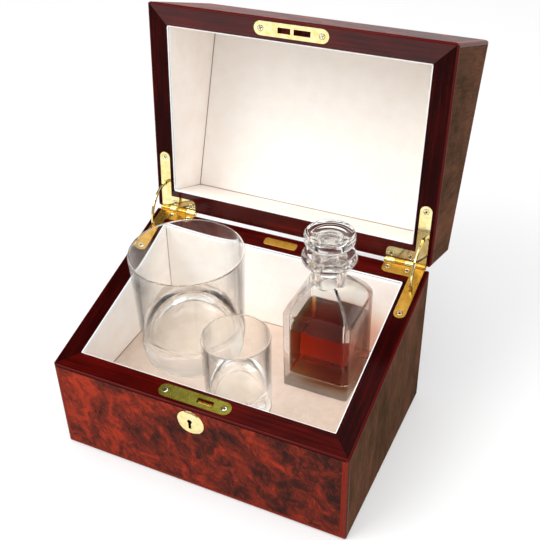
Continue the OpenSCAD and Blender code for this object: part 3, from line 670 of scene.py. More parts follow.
@dataclass(frozen=True)
class Microsuede(Suede):
    """The cream suede of the sides, with dark seams and a white band next to the rim."""

    name: str = "microsuede_cream"
    patches: Clouds = Clouds(16.0, 3.0, 0.6, share=0.65)
    nap: Clouds = Clouds(1.1, 3.0, 0.65, share=0.35)
    colour: str = "#fffaf5"
    shade: str = "#faf1e9"
    edge: str = "#ffffff"
    mitre_w: float = 0.25
    mitre_soft: float = 0.4
    foot_w: float = 0.2
    foot_soft: float = 0.6
    seam_share: float = 0.8
    white_band_h: float = 4.0
    white_band_soft: float = 0.5

    def material(self, half: Half) -> bpy.types.Material:
        """Builds the cloth.

        Args:
            half: The half of the case it lines.

        Returns:
            The material.
        """
        s, cloth, nap = self.cloth(half, [(0.35, self.shade), (0.62, self.colour)])
        level = CASE.floor_z if half is Half.BASE else CASE.panel_z
        off = s.add("Math", s.axes()[2], level * MM, operation="SUBTRACT")
        foot = s.below(s.add("Math", off, operation="ABSOLUTE"), self.foot_w, self.foot_soft)
        mitre = s.below(s.mitre_distance(), self.mitre_w, self.mitre_soft)
        seams = s.add("Math", mitre, foot, operation="MAXIMUM")
        cloth = s.over(cloth, self.seam, seams, self.seam_share)
        # The cloth is whitened within 4 mm of the rim's plane
        cloth = s.over(cloth, self.edge, s.below(s.rim_height(), self.white_band_h, self.white_band_soft))
        return s.done(cloth, nap, depth=0.12, strength=0.35)


@dataclass(frozen=True)
class FloorSuede(Suede):
    """The floor's suede, painted a shade deeper as the shade that the case's walls cast on it."""

    name: str = "microsuede_floor"
    patches: Clouds = Clouds(11.0, 3.0, 0.6, share=0.55)
    nap: Clouds = Clouds(1.0, 3.0, 0.7, share=0.45)
    sheen: float = 0.12
    # Painted shade: the floor's colours are darker than the panel's, which are the cloth's own
    floor: tuple[str, str] = ("#d0bbaa", "#dccbbd")
    panel: tuple[str, str] = ("#fbf4ec", "#fffaf5")
    seam_w: float = 0.3
    seam_soft: float = 0.6
    seam_share: float = 0.7

    def material(self, half: Half) -> bpy.types.Material:
        """Builds the cloth with the seam where it meets the sides.

        Args:
            half: The base for the floor, or the lid for its panel.

        Returns:
            The material.
        """
        low, high = self.floor if half is Half.BASE else self.panel
        s, cloth, nap = self.cloth(half, [(0.36, low), (0.62, high)])
        border = s.add("Math", *s.insets(CASE.face_x, CASE.face_y), operation="MINIMUM")
        cloth = s.over(cloth, self.seam, s.below(border, self.seam_w, self.seam_soft), self.seam_share)
        return s.done(cloth, nap, depth=0.15, strength=0.5)


@dataclass(frozen=True)
class Brass:
    """Yellow brass sheet and rod, polished and clear lacquered so that it stays bright."""

    name: str = "brass"
    buffed: tuple[str, str] = ("#ecd88c", "#f6eab4")
    satin: tuple[str, str] = ("#cf9c3c", "#dcae50")
    plated: tuple[str, str] = ("#efe2b4", "#fbf6e2")
    lacquered: tuple[str, str] = ("#867c2c", "#98903c")
    wear: Clouds = Clouds(5.0, 3.0, 0.6)
    # Buffing lines are some hundredths of a millimetre wide, too fine to show, so they are drawn coarser
    fine: Clouds = Clouds(0.5, 2.0, 0.7)
    mirror_rough: tuple[float, float] = (0.03, 0.08)
    satin_rough: tuple[float, float] = (0.16, 0.34)

    def material(self, polish: Polish) -> bpy.types.Material:
        """Builds the metal. Buffed brass mirrors its surroundings, and satin brass blurs them.

        Args:
            polish: How it was finished.

        Returns:
            The material.
        """
        blurred = polish in (Polish.SATIN, Polish.LACQUERED)
        s = Surface(f"{self.name}_{polish.name.lower()}", Metallic=1.0)
        deep, colour = getattr(self, polish.name.lower())
        shade = s.add("ValToRGB", s.clouds(self.wear), stops=[(0.35, deep), (0.6, colour)])
        fine = s.clouds(self.fine)
        rough = self.satin_rough if blurred else self.mirror_rough
        s.feed("Roughness", s.add("MapRange", fine, 0.3, 0.7, *rough))
        depth, strength = (0.05, 0.5) if blurred else (0.012, 0.25)
        return s.done(shade, fine, depth, strength)


@dataclass(frozen=True)
class SpringSteel:
    """Cold rolled steel of the hidden lock case, blued a little by its heat treatment."""

    name: str = "cold_rolled_steel"
    colour: str = "#9a9b9c"
    deep: str = "#6f7276"
    # The lines of the rolls are under 0.1 mm wide, too fine to show, so they are drawn coarser
    rolls: Clouds = Clouds(0.6, 3.0, 0.6, (30, 1, 1))

    def material(self) -> bpy.types.Material:
        """Builds the metal with the faint lines of the rolls."""
        s = Surface(self.name, Metallic=1.0)
        lines = s.clouds(self.rolls)
        s.feed("Roughness", s.add("MapRange", lines, 0.3, 0.7, 0.28, 0.45))
        shade = s.add("ValToRGB", lines, stops=[(0.3, self.deep), (0.7, self.colour)])
        return s.done(shade, lines, depth=0.02, strength=0.4)


@dataclass(frozen=True)
class PineBoard:
    """Sawn softwood of the hidden boards, unfinished, with growth rings along the case."""

    name: str = "pine_sawn"
    light: str = "#d8b98a"
    dark: str = "#b98f5e"
    ring: float = 90.0
    ring_share: float = 0.6
    # Softwood fibres are under 0.1 mm wide, too fine to show, so they are drawn coarser
    fine: Clouds = Clouds(0.7, 3.0, 0.6, (30, 1, 1), share=0.4)

    def material(self) -> bpy.types.Material:
        """Builds the wood with its bands of early and late growth."""
        s = Surface(self.name, Roughness=0.75)
        rings = s.add("TexWave", {
            "Vector": s.warped(60, 4), "Scale": per_mm(self.ring), "Distortion": 2.0, "Detail": 2.0,
        }, out="Fac", bands_direction="Y")
        fine = s.clouds(self.fine)
        mixed = s.total((rings, self.ring_share), (fine, self.fine.share))
        shade = s.add("ValToRGB", mixed, stops=[(0.2, self.light), (0.75, self.dark)])
        return s.done(shade, fine, depth=0.1, strength=0.4)


@dataclass(frozen=True)
class Baize:
    """Woollen baize under the case, felted so that its weave hardly shows."""

    name: str = "baize_green"
    colour: str = "#35553c"
    dark: str = "#26402c"
    fuzz_tint: str = "#8fae92"
    slow: Clouds = Clouds(9.0, 2.0, 0.5, share=0.4)
    # Wool fibres are some hundredths of a millimetre, too fine to show, so the fuzz is drawn coarser
    fuzz: Clouds = Clouds(0.9, 4.0, 0.7, share=0.6)

    def material(self) -> bpy.types.Material:
        """Builds the cloth with its fuzzy, clotted fibres."""
        s = Surface(
            self.name, Roughness=1.0, Sheen_Weight=0.3, Sheen_Roughness=0.6, Sheen_Tint=self.fuzz_tint,
        )
        fuzz = s.clouds(self.fuzz)
        mixed = s.total((s.clouds(self.slow), self.slow.share), (fuzz, self.fuzz.share))
        shade = s.add("ValToRGB", mixed, stops=[(0.35, self.dark), (0.65, self.colour)])
        return s.done(shade, fuzz, depth=0.25, strength=0.6)


@dataclass(frozen=True)
class Crystal:
    """Clear crystal glass, pressed, cut on the shoulder and fire polished: heavy and very clear."""

    name: str = "crystal_glass"
    tint: str = "#fdfefd"
    ior: float = 1.5
    edge_alpha: float = 0.2
    cut_edge_alpha: float = 0.4
    edge_from: float = 0.35
    edge_to: float = 0.9
    mirror: str = "#ffffff"
    cut_mirror: str = "#606060"
    wave: Clouds = Clouds(9.0, 1.0, 0.4)

    def material(self, cut: bool) -> bpy.types.Material:
        """Builds the glass. A faint waviness of the pressed surface bends what shows through it.

        Args:
            cut: Whether it is the decanter's and its stopper's cut glass, which mirrors less.

        Returns:
            The material.
        """
        alpha = self.cut_edge_alpha if cut else self.edge_alpha
        s = Surface(
            f"{self.name}_{'cut' if cut else 'blown'}", Base_Color=self.tint, Roughness=0.0, IOR=self.ior,
            Transmission_Weight=1.0, Specular_Tint=self.cut_mirror if cut else self.mirror,
        )
        # Thin walls seen along their surface stay bright, as real ones do when light runs inside them
        facing = s.add("LayerWeight", {"Blend": 0.5}, out="Facing")
        s.feed("Alpha", s.add("MapRange", facing, self.edge_from, self.edge_to, 1.0, alpha))
        s.let_lamps_through()
        return s.done(None, s.clouds(self.wave), depth=0.05, strength=0.25)


@dataclass(frozen=True)
class Whisky:
    """Whisky in the decanter: clear amber that deepens to red brown through its thickness."""

    name: str = "whisky_amber"
    colour: tuple[float, float, float, float] = (0.915, 0.67, 0.06, 1.0)
    density: float = 250.0
    ior: float = 1.36
    ripple: Clouds = Clouds(12.0, 1.0, 0.4)

    def material(self) -> bpy.types.Material:
        """Builds the liquid. Its colour comes from absorption over the way the light goes."""
        s = Surface(
            self.name, Base_Color="#ffffff", Roughness=0.0, IOR=self.ior, Transmission_Weight=1.0,
            Specular_Tint="#000000",
        )
        volume = s.add("VolumeAbsorption", {"Color": self.colour, "Density": self.density})
        s.tree.links.new(volume, s.out.inputs["Volume"])
        s.let_lamps_through()
        return s.done(None, s.clouds(self.ripple), depth=0.02, strength=0.1)


def skin(name: str, rings: list[list[Vector]], sharp: float) -> bpy.types.Mesh:
    """Stretches a closed skin over rings of points.

    Args:
        name: The mesh's name.
        rings: The rings from end to end, in metres. A ring of one point is a tip, and a whole ring at
            either end gets a flat cap.
        sharp: Angle in degrees above which an edge stays crisp.

    Returns:
        The mesh.
    """
    shape = bmesh.new()
    loops = [[shape.verts.new(point) for point in ring] for ring in rings]
    count = max(len(loop) for loop in loops)
    for low, high in zip(loops, loops[1:]):
        for i in range(count):
            j = (i + 1) % count
            if len(low) == 1:
                shape.faces.new((low[0], high[j], high[i]))
            elif len(high) == 1:
                shape.faces.new((low[i], low[j], high[0]))
            else:
                shape.faces.new((low[i], low[j], high[j], high[i]))
    for loop in (loops[0][::-1], loops[-1]):
        if len(loop) > 1:
            shape.faces.new(loop)
    bmesh.ops.recalc_face_normals(shape, faces=shape.faces)
    mesh = bpy.data.meshes.new(name)
    shape.to_mesh(mesh)
    shape.free()
    mesh.shade_smooth()
    mesh.set_sharp_from_angle(angle=math.radians(sharp))
    return mesh


@dataclass
class Workshop:
    """Makes finished pieces: copies CAD pieces with softened edges and turns new ones.

    Attributes:
        made: Names of the pieces made so far.
        weld: Distance in millimetres within which points of a CAD mesh become one.
        flat: Angle in degrees within which its faces count as one flat face.
        even_weight: Weight of large faces in the even shading.
        off_flat: Angle in degrees off every flat side from which a face is part of an arris.
        steps: Faces round a turned piece.
        crisp: Angle in degrees above which an edge of a turned piece stays crisp.
    """

    made: list[str] = field(default_factory=list)
    weld: float = 0.002
    flat: float = 0.3
    even_weight: int = 80
    off_flat: float = 2.0
    steps: int = 128
    crisp: float = 40.0

    def finish(
        self, obj: bpy.types.Object, body: str, slot: str, nodes: tuple[str, ...] = ()
    ) -> bpy.types.Object:
        """Hangs a piece on its body and hides the CAD nodes that it stands for.

        Args:
            obj: The piece.
            body: The body it rides on.
            slot: The record's material slot. Not used.
            nodes: The CAD nodes it replaces.

        Returns:
            The piece.
        """
        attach(obj, body)
        if nodes:
            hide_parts(*nodes)
        self.made.append(obj.name)
        LOG.info("%s: %d faces on %s", obj.name, len(obj.data.polygons), body)
        return obj

    def add(self, name: str, mesh: bpy.types.Mesh, material: bpy.types.Material) -> bpy.types.Object:
        """Puts a mesh into the scene with its one material.

        Args:
            name: The piece's name.
            mesh: Its mesh.
            material: Its material.

        Returns:
            The new object.
        """
        mesh.materials.clear()
        mesh.materials.append(material)
        obj = bpy.data.objects.new(name, mesh)
        bpy.context.scene.collection.objects.link(obj)
        return obj

    def plain(self, obj: bpy.types.Object) -> bpy.types.Object:
        """Replaces a piece's mesh by the one that its modifiers give.

        Args:
            obj: The piece with live modifiers.

        Returns:
            The same piece without modifiers.
        """
        deps = bpy.context.evaluated_depsgraph_get()
        mesh = bpy.data.meshes.new_from_object(
            obj.evaluated_get(deps), preserve_all_data_layers=True, depsgraph=deps
        )
        obj.modifiers.clear()
        obj.data = mesh
        return obj

    def softened(
        self, node: str, body: str, slot: str, material: bpy.types.Material,
        radius: float = 0.25, sharp: float = 35.0, segments: int = 2,
        arris: bpy.types.Material | None = None,
    ) -> bpy.types.Object:
        """Copies a CAD node with its edges softened and its curved faces smooth.

        Args:
            node: The CAD node.
            body: The body it rides on.
            slot: The record's material slot.
            material: Its finish.
            radius: Radius of the softened edges in millimetres, or 0 for none.
            sharp: Angle in degrees above which an edge counts as one.
            segments: Faces across an edge's round.
            arris: Finish of the faces that are rounded, or None.

        Returns:
            The finished piece.
        """
        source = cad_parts[node]
        mesh = source.data.copy()
        shape = bmesh.new()
        shape.from_mesh(mesh)
        bmesh.ops.remove_doubles(shape, verts=shape.verts, dist=self.weld * MM)
        bmesh.ops.dissolve_limit(
            shape, angle_limit=math.radians(self.flat), verts=shape.verts, edges=shape.edges,
            delimit={"NORMAL"},
        )
        shape.to_mesh(mesh)
        shape.free()
        obj = self.add(f"{node}_piece", mesh, material)
        mesh.shade_smooth()
        mesh.set_sharp_from_angle(angle=math.radians(sharp))
        if radius:
            bevel = obj.modifiers.new("soft edges", "BEVEL")
            bevel.width = radius * MM
            bevel.segments = segments
            bevel.limit_method = "ANGLE"
            bevel.angle_limit = math.radians(sharp)
            bevel.use_clamp_overlap = True
            bevel.miter_outer = "MITER_ARC"
        even = obj.modifiers.new("even shading", "WEIGHTED_NORMAL")
        even.keep_sharp = True
        even.weight = self.even_weight
        self.plain(obj)
        if arris:
            self.dress_arris(obj, body, arris)
        return self.finish(obj, body, slot, (node,))

    def dress_arris(self, obj: bpy.types.Object, body: str, arris: bpy.types.Material) -> None:
        """Gives a wooden piece's rounded faces their own finish.

        Args:
            obj: The piece.
            body: The half that it belongs to.
            arris: The finish.
        """
        obj.data.materials.append(arris)
        turn = CASE.opening().to_3x3() if body == "lid" else Matrix.Identity(3)
        flats = [turn @ v for v in (*Matrix.Identity(3), CASE.rim_normal())]
        limit = math.cos(math.radians(self.off_flat))
        for face in obj.data.polygons:
            if max(abs(face.normal.dot(flat)) for flat in flats) < limit:
                face.material_index = 1

    def turned(
        self, name: str, profile: list[tuple[float, float]], at: Vector, material: bpy.types.Material
    ) -> bpy.types.Object:
        """Turns a closed section on the lathe.

        Args:
            name: The piece's name.
            profile: Radius and height in millimetres, from the axis round to the axis.
            at: The foot of the axis in metres.
            material: Its finish.

        Returns:
            The piece, not yet hung on its body.
        """
        rings = []
        for r, z in profile:
            angles = [2 * math.pi * i / self.steps for i in range(self.steps if r else 1)]
            rings.append([at + Vector((r * math.cos(a), r * math.sin(a), z)) * MM for a in angles])
        return self.add(name, skin(name, rings, self.crisp), material)


def arc(cx: float, cz: float, r: float, a: float, b: float, steps: int) -> list[tuple[float, float]]:
    """Points of an arc in the plane.

    Args:
        cx: The centre's distance from the axis.
        cz: The centre's height.
        r: Radius.
        a: First angle in degrees.
        b: Last angle in degrees.
        steps: Number of steps.

    Returns:
        The points as pairs.
    """
    turn = [math.radians(a + (b - a) * i / steps) for i in range(steps + 1)]
    return [(cx + r * math.cos(t), cz + r * math.sin(t)) for t in turn]


class GeometryTool:
    """A geometry tree being built, with named inputs, whose result has one material."""

    def __init__(
        self, name: str, start: str, numbers: tuple[str, ...], vectors: tuple[str, ...] = ()
    ) -> None:
        """Starts a tree.

        Args:
            name: The tree's name.
            start: Name of the geometry that goes in.
            numbers: Names of the inputs that are numbers.
            vectors: Names of the inputs that are vectors.
        """
        self.tree = bpy.data.node_groups.new(name, "GeometryNodeTree")
        face = self.tree.interface
        labels = {"Geometry": (start,), "Float": numbers, "Vector": vectors}
        for sort, names in labels.items():
            for label in names:
                face.new_socket(label, in_out="INPUT", socket_type=f"NodeSocket{sort}")
        face.new_socket("Result", in_out="OUTPUT", socket_type="NodeSocketGeometry")
        self.given = add_node(self.tree, "NodeGroupInput").outputs

    def add(self, kind: str, inputs: dict, **settings) -> Socket:
        """Adds a node and gives back its first output.

        Args:
            kind: The node's type name.
            inputs: Values or sockets by the input's name or number.
            settings: The node's own properties.

        Returns:
            The output's socket.
        """
        return add_node(self.tree, kind, inputs, **settings).outputs[0]

    def put_on(
        self, obj: bpy.types.Object, result: Socket, material: bpy.types.Material, values: dict
    ) -> None:
        """Ends the tree and puts it on an object.

        Args:
            obj: The object that carries the path or the points.
            result: Socket of the tree's result.
            material: The result's finish.
            values: The inputs' values by name.
        """
        real = self.add("GeometryNodeRealizeInstances", {0: result})
        dressed = self.add("GeometryNodeSetMaterial", {"Geometry": real, "Material": material})
        add_node(self.tree, "NodeGroupOutput", {0: dressed})
        modifier = obj.modifiers.new(self.tree.name, "NODES")
        modifier.node_group = self.tree
        for item in self.tree.interface.items_tree:
            if item.item_type == "SOCKET" and item.in_out == "INPUT" and item.name in values:
                modifier[item.identifier] = values[item.name]


@dataclass
class WoodenCase:
    """The wooden walls and rims of both halves, with the boards under the floor."""

    shop: Workshop
    edge: float = 0.25
    fine_edge: float = 0.1
    burl: BurlVeneer = field(default_factory=BurlVeneer)
    side: SideVeneer = field(default_factory=SideVeneer)
    lipping: MahoganyLipping = field(default_factory=MahoganyLipping)
    arris: ArrisLacquer = field(default_factory=ArrisLacquer)
    pine: PineBoard = field(default_factory=PineBoard)

    def build(self) -> None:
        """Dresses every wooden piece."""
        fine = self.fine_edge
        rim = self.arris.material("rim", self.arris.rim)
        wall = self.arris.material("front", self.arris.wall)
        flank = self.arris.material("side", self.arris.side)
        for half in Half:
            burl = self.burl.material(half)
            side = self.side.material(half)
            across = self.lipping.material(half, Run.ACROSS)
            along = self.lipping.material(half, Run.BACKWARDS)
            body = half.value
            for way in ("front", "back"):
                self.shop.softened(f"{body}_{way}_wall", body, "burl_lacquer", burl, fine, arris=wall)
                self.shop.softened(f"{body}_rim_{way}", body, "rim_lacquer", across, fine, arris=rim)
            for way in ("left", "right"):
                self.shop.softened(f"{body}_{way}_wall", body, "burl_lacquer", side, fine, arris=flank)
                self.shop.softened(f"{body}_rim_{way}", body, "rim_lacquer", along, fine, arris=rim)
            if half is Half.LID:
                self.shop.softened("lid_top_board", "lid", "burl_lacquer", burl, 0, arris=wall)
        board = self.pine.material()
        for node in ("bottom_board", "floor_board", "floor_side_bearers", "floor_cross_bearers"):
            self.shop.softened(node, "base", "plain_board", board, self.edge)


@dataclass
class SuedeLining:
    """The lining boards, their floor and panel, and the rolled edge along the rims."""

    shop: Workshop
    edge: float = 0.5
    felt_edge: float = 0.3
    roll_r: float = 0.55
    roll_drop: float = 0.3
    corner_r: float = 1.2
    ring_steps: int = 12
    corner_steps: int = 6
    suede: Microsuede = field(default_factory=Microsuede)
    floor: FloorSuede = field(default_factory=FloorSuede)
    felt: Baize = field(default_factory=Baize)

    def build(self) -> None:
        """Dresses the lining's pieces and lays the rolled edges."""
        for half in Half:
            cloth = self.suede.material(half)
            for way in ("front", "back", "left", "right"):
                self.board(f"{half.value}_lining_{way}", half, cloth)
            self.rolled_edge(half, cloth)
        for half, node in ((Half.BASE, "floor_lining"), (Half.LID, "lid_lining_panel")):
            self.board(node, half, self.floor.material(half))
        self.shop.softened("baize", "base", "baize", self.felt.material(), self.felt_edge)

    def board(self, node: str, half: Half, cloth: bpy.types.Material) -> None:
        """Dresses one lined board.

        Args:
            node: Its CAD node.
            half: The half of the case.
            cloth: The suede.
        """
        self.shop.softened(node, half.value, "suede_lining", cloth, self.edge, segments=3)

    def path(self, half: Half) -> bpy.types.Mesh:
        """Draws the loop that the rolled edge follows.

        Args:
            half: The half of the case.

        Returns:
            A mesh of four corners joined by edges.
        """
        c, t = math.cos(CASE.slope), math.tan(CASE.slope)
        x, y = (side - CASE.rim_w - CASE.lining_show / 2 for side in (CASE.half_w, CASE.half_d))
        drop = self.roll_r + self.roll_drop
        n = -drop if half is Half.BASE else CASE.rim_gap + drop
        front, back = ((CASE.half_d + way * y) / c + n * t for way in (-1, 1))
        corners = ((-x, front), (x, front), (x, back), (-x, back))
        points = [CASE.rim_point(across, s, n) for across, s in corners]
        if half is Half.LID:
            points = [CASE.opening() @ p for p in points]
        mesh = bpy.data.meshes.new("lining_edge_path")
        mesh.from_pydata(points, [(0, 1), (1, 2), (2, 3), (3, 0)], [])
        return mesh

    def rolled_edge(self, half: Half, cloth: bpy.types.Material) -> None:
        """Rolls cloth along the rim of one half.

        Args:
            half: The half of the case.
            cloth: The suede.
        """
        tool = GeometryTool("rolled lining edge", "Path", ("Roll Radius", "Corner Radius"))
        curve = tool.add("GeometryNodeMeshToCurve", {"Mesh": tool.given["Path"]})
        bend = tool.add("GeometryNodeFilletCurve", {
            "Curve": curve, "Radius": tool.given["Corner Radius"], 1: self.corner_steps,
        }, mode="POLY")
        ring = tool.add("GeometryNodeCurvePrimitiveCircle", {
            "Resolution": self.ring_steps, "Radius": tool.given["Roll Radius"],
        })
        tube = tool.add("GeometryNodeCurveToMesh", {"Curve": bend, "Profile Curve": ring, "Fill Caps": True})
        smooth = tool.add("GeometryNodeSetShadeSmooth", {0: tube})
        obj = self.shop.add(f"{half.value}_lining_edge", self.path(half), cloth)
        sizes = {"Roll Radius": self.roll_r * MM, "Corner Radius": self.corner_r * MM}
        tool.put_on(obj, smooth, cloth, sizes)
        self.shop.finish(self.shop.plain(obj), half.value, "suede_lining")


@dataclass
class ScrewSet:
    """Countersunk brass screws with cross recesses, set by a geometry tree at given places."""

    shop: Workshop
    head_r: float = 2.1
    head_h: float = 1.2
    shank_r: float = 1.0
    length: float = 8.0
    cross_l: float = 2.9
    cross_w: float = 0.75
    turn: float = 20.0
    head_steps: int = 40
    dome_rings: int = 16
    shank_steps: int = 20
    dome: tuple[float, float, float] = (0.93, 0.93, 0.05)
    shank_fit: tuple[float, float, float] = (0.98, 0.98, 0.99)
    sharp: float = 30.0
    hinge_strip: tuple[float, float] = (111.4, 127.255)
    hinge_arm_s: float = 167.655
    hinge_arm_x: tuple[float, float] = (88.2, 103.6)
    plate_s: float = 8.5
    plate_x: tuple[float, float] = (-25.0, 23.0)

    def places(self, half: Half, lock: bool) -> list[Vector]:
        """Lists the heads' centres.

        Args:
            half: The half of the case.
            lock: Whether they hold the lock's or keeper's plate rather than the hinges.

        Returns:
            Points in metres.
        """
        n = 0.0 if half is Half.BASE else CASE.rim_gap
        if lock:
            spots = [(x, self.plate_s) for x in self.plate_x]
        else:
            right = [self.hinge_strip] + [(x, self.hinge_arm_s) for x in self.hinge_arm_x]
            spots = [(side * x, s) for side in (-1, 1) for x, s in right]
        points = [CASE.rim_point(x, s, n) for x, s in spots]
        return points if half is Half.BASE else [CASE.opening() @ p for p in points]

    def outwards(self, half: Half) -> Vector:
        """The way in which the heads face.

        Args:
            half: The half of the case that holds them.

        Returns:
            A unit vector off the rim.
        """
        normal = CASE.rim_normal()
        return normal if half is Half.BASE else -(CASE.opening().to_3x3() @ normal)

    def screw(self, tool: GeometryTool) -> Socket:
        """Makes one screw with its head's rim at the origin and its point down.

        Args:
            tool: The tree that gets the nodes.

        Returns:
            The socket of the screw's mesh.
        """
        given = tool.given
        head = tool.add("GeometryNodeMeshCone", {
            "Vertices": self.head_steps, "Radius Top": given["Head Radius"],
            "Radius Bottom": given["Shank Radius"], "Depth": given["Head Height"],
        })
        down = tool.add("ShaderNodeMath", {0: given["Head Height"], 1: -1.0}, operation="MULTIPLY")
        sunk = tool.add("ShaderNodeCombineXYZ", {2: down})
        cone = tool.add("GeometryNodeTransform", {0: head, "Translation": sunk})
        # A low dome on the head: a flattened ball whose lower half is inside the cone
        ball = tool.add("GeometryNodeMeshUVSphere", {
            "Segments": self.head_steps, "Rings": self.dome_rings, "Radius": given["Head Radius"],
        })
        dome = tool.add("GeometryNodeTransform", {0: ball, "Scale": self.dome})
        shank = tool.add("GeometryNodeMeshCylinder", {
            "Vertices": self.shank_steps, "Radius": given["Shank Radius"], "Depth": given["Length"],
        })
        middle = tool.add("ShaderNodeMath", {0: given["Length"], 1: -0.5}, operation="MULTIPLY")
        low = tool.add("ShaderNodeCombineXYZ", {2: middle})
        rod = tool.add("GeometryNodeTransform", {0: shank, "Translation": low, "Scale": self.shank_fit})
        body = tool.add("GeometryNodeMeshBoolean", {"Mesh 2": [cone, dome, rod]}, operation="UNION")
        slots = []
        for turn in (self.turn, self.turn + 90):
            size = tool.add("ShaderNodeCombineXYZ", {
                0: given["Cross Length"], 1: given["Cross Width"], 2: given["Head Height"],
            })
            slot = tool.add("GeometryNodeMeshCube", {"Size": size})
            turned = {0: slot, "Rotation": (0, 0, math.radians(turn))}
            slots.append(tool.add("GeometryNodeTransform", turned))
        return tool.add("GeometryNodeMeshBoolean", {"Mesh 1": body, "Mesh 2": slots}, operation="DIFFERENCE")

    def build(self, brass: bpy.types.Material) -> None:
        """Sets the screws of both halves.

        Args:
            brass: Their finish.
        """
        names = {
            Half.BASE: ("base_hinge_screws", "lock_screws"),
            Half.LID: ("lid_hinge_screws", "keeper_screws"),
        }
        sizes = {
            "Head Radius": self.head_r, "Head Height": self.head_h, "Shank Radius": self.shank_r,
            "Length": self.length, "Cross Length": self.cross_l, "Cross Width": self.cross_w,
        }
        values = {name: size * MM for name, size in sizes.items()}
        for half in Half:
            for lock, node in zip((False, True), names[half]):
                mesh = bpy.data.meshes.new(f"{node}_places")
                mesh.from_pydata(self.places(half, lock), [], [])
                obj = self.shop.add(f"{node}_set", mesh, brass)
                tool = GeometryTool("countersunk screws", "Places", tuple(sizes), ("Outwards",))
                screw = self.screw(tool)
                points = tool.add("GeometryNodeMeshToPoints", {0: tool.given["Places"]})
                outwards = {"Vector": tool.given["Outwards"]}
                aim = tool.add("FunctionNodeAlignRotationToVector", outwards, axis="Z")
                crowd = tool.add("GeometryNodeInstanceOnPoints", {
                    "Points": points, "Instance": screw, "Rotation": aim,
                })
                tool.put_on(obj, crowd, brass, values | {"Outwards": tuple(self.outwards(half))})
                self.shop.plain(obj)
                obj.data.shade_smooth()
                obj.data.set_sharp_from_angle(angle=math.radians(self.sharp))
                self.shop.finish(obj, half.value, "brass", (node,))


@dataclass
class BrassFittings:
    """Hinges, stays, plates, escutcheon and the lock behind them."""

    shop: Workshop
    brass: Brass = field(default_factory=Brass)
    steel: SpringSteel = field(default_factory=SpringSteel)

    def build(self) -> None:
        """Dresses the metal pieces and sets the screws."""
        buffed = self.brass.material(Polish.BUFFED)
        satin = self.brass.material(Polish.SATIN)
        steel = self.steel.material()
        for side in ("left", "right"):
            self.shop.softened(f"hinge_base_{side}", "base", "brass", satin, 0.12)
            self.shop.softened(f"hinge_pin_{side}", "base", "brass", buffed, 0.12)
            self.shop.softened(f"hinge_lid_{side}", "lid", "brass", buffed, 0.12)
            self.shop.softened(f"stay_{side}", f"stay_{side}", "brass", buffed, 0.3, 35, 3)
        olive = self.brass.material(Polish.LACQUERED)
        self.shop.softened("lock_plate", "base", "brass", olive, 0.25, 35, 3)
        self.shop.softened("plaque", "base", "brass", satin, 0.15)
        self.shop.softened("escutcheon", "base", "brass", buffed, 0.2, 28, 3)
        self.shop.softened("keeper_plate", "lid", "brass", buffed, 0.25, 35, 3)
        self.shop.softened("hook_bolt", "bolt", "brass", satin, 0.2)
        for node in ("lock_case", "lock_cover", "key_post", "bolt_spring"):
            self.shop.softened(node, "base", "steel", steel, 0.1)
        ScrewSet(self.shop).build(self.brass.material(Polish.PLATED))


@dataclass
class TurnedGlass:
    """A straight sided glass with a heavy foot, turned from its section.

    Attributes:
        node: Its CAD node.
        at: Place of its axis.
        rim_r: Outer radius at the rim.
        height: Height.
        foot_r: Radius of the foot.
        foot_h: Height of the foot.
        step: How far the side stands out over the foot.
        base_t: Thickness of the base.
        flat_r: Radius of the bowl's flat floor.
        bowl_r: Radius of the bowl's curve.
        wall_t: Thickness of the wall.
        edge: Radius of the foot's rounded edge.
        hollow: Hollow below the foot, as parts of its radius and heights.
        ring: Where the ring that it stands on begins, as a part of the foot's radius.
        dip: How far the bowl's floor falls at half of its flat and at its middle.
    """

    node: str
    at: tuple[float, float]
    rim_r: float
    height: float
    foot_r: float
    foot_h: float
    step: float
    base_t: float
    flat_r: float
    bowl_r: float
    wall_t: float
    edge: float = 1.2
    hollow: tuple[tuple[float, float], ...] = ((0.0, 1.1), (0.5, 0.9), (0.72, 0.45))
    ring: float = 0.82
    dip: tuple[float, float] = (0.15, 0.3)

    def profile(self) -> list[tuple[float, float]]:
        """Draws the section: a foot hollowed a little below, straight sides and a round bowl."""
        lip = self.wall_t / 2
        return (
            [(self.foot_r * part, z) for part, z in self.hollow]
            + [(self.foot_r * self.ring, 0.0), (self.foot_r - 2 * self.edge, 0.0)]
            + arc(self.foot_r - self.edge, self.edge, self.edge, -90, 0, 8)
            + [(self.foot_r, self.foot_h), (self.foot_r + self.step, self.foot_h + self.step)]
            + arc(self.rim_r - lip, self.height - lip, lip, 0, 180, 14)
            + arc(self.flat_r, self.base_t + self.bowl_r, self.bowl_r, 0, -90, 24)
            + [(self.flat_r / 2, self.base_t - self.dip[0]), (0, self.base_t - self.dip[1])]
        )

    def build(self, shop: Workshop, crystal: bpy.types.Material) -> None:
        """Turns the glass and hangs it on its body.

        Args:
            shop: The workshop.
            crystal: Its finish.
        """
        at = Vector((self.at[0], self.at[1], CASE.floor_z)) * MM
        obj = shop.turned(f"{self.node}_turned", self.profile(), at, crystal)
        shop.finish(obj, self.node, "crystal", (self.node,))


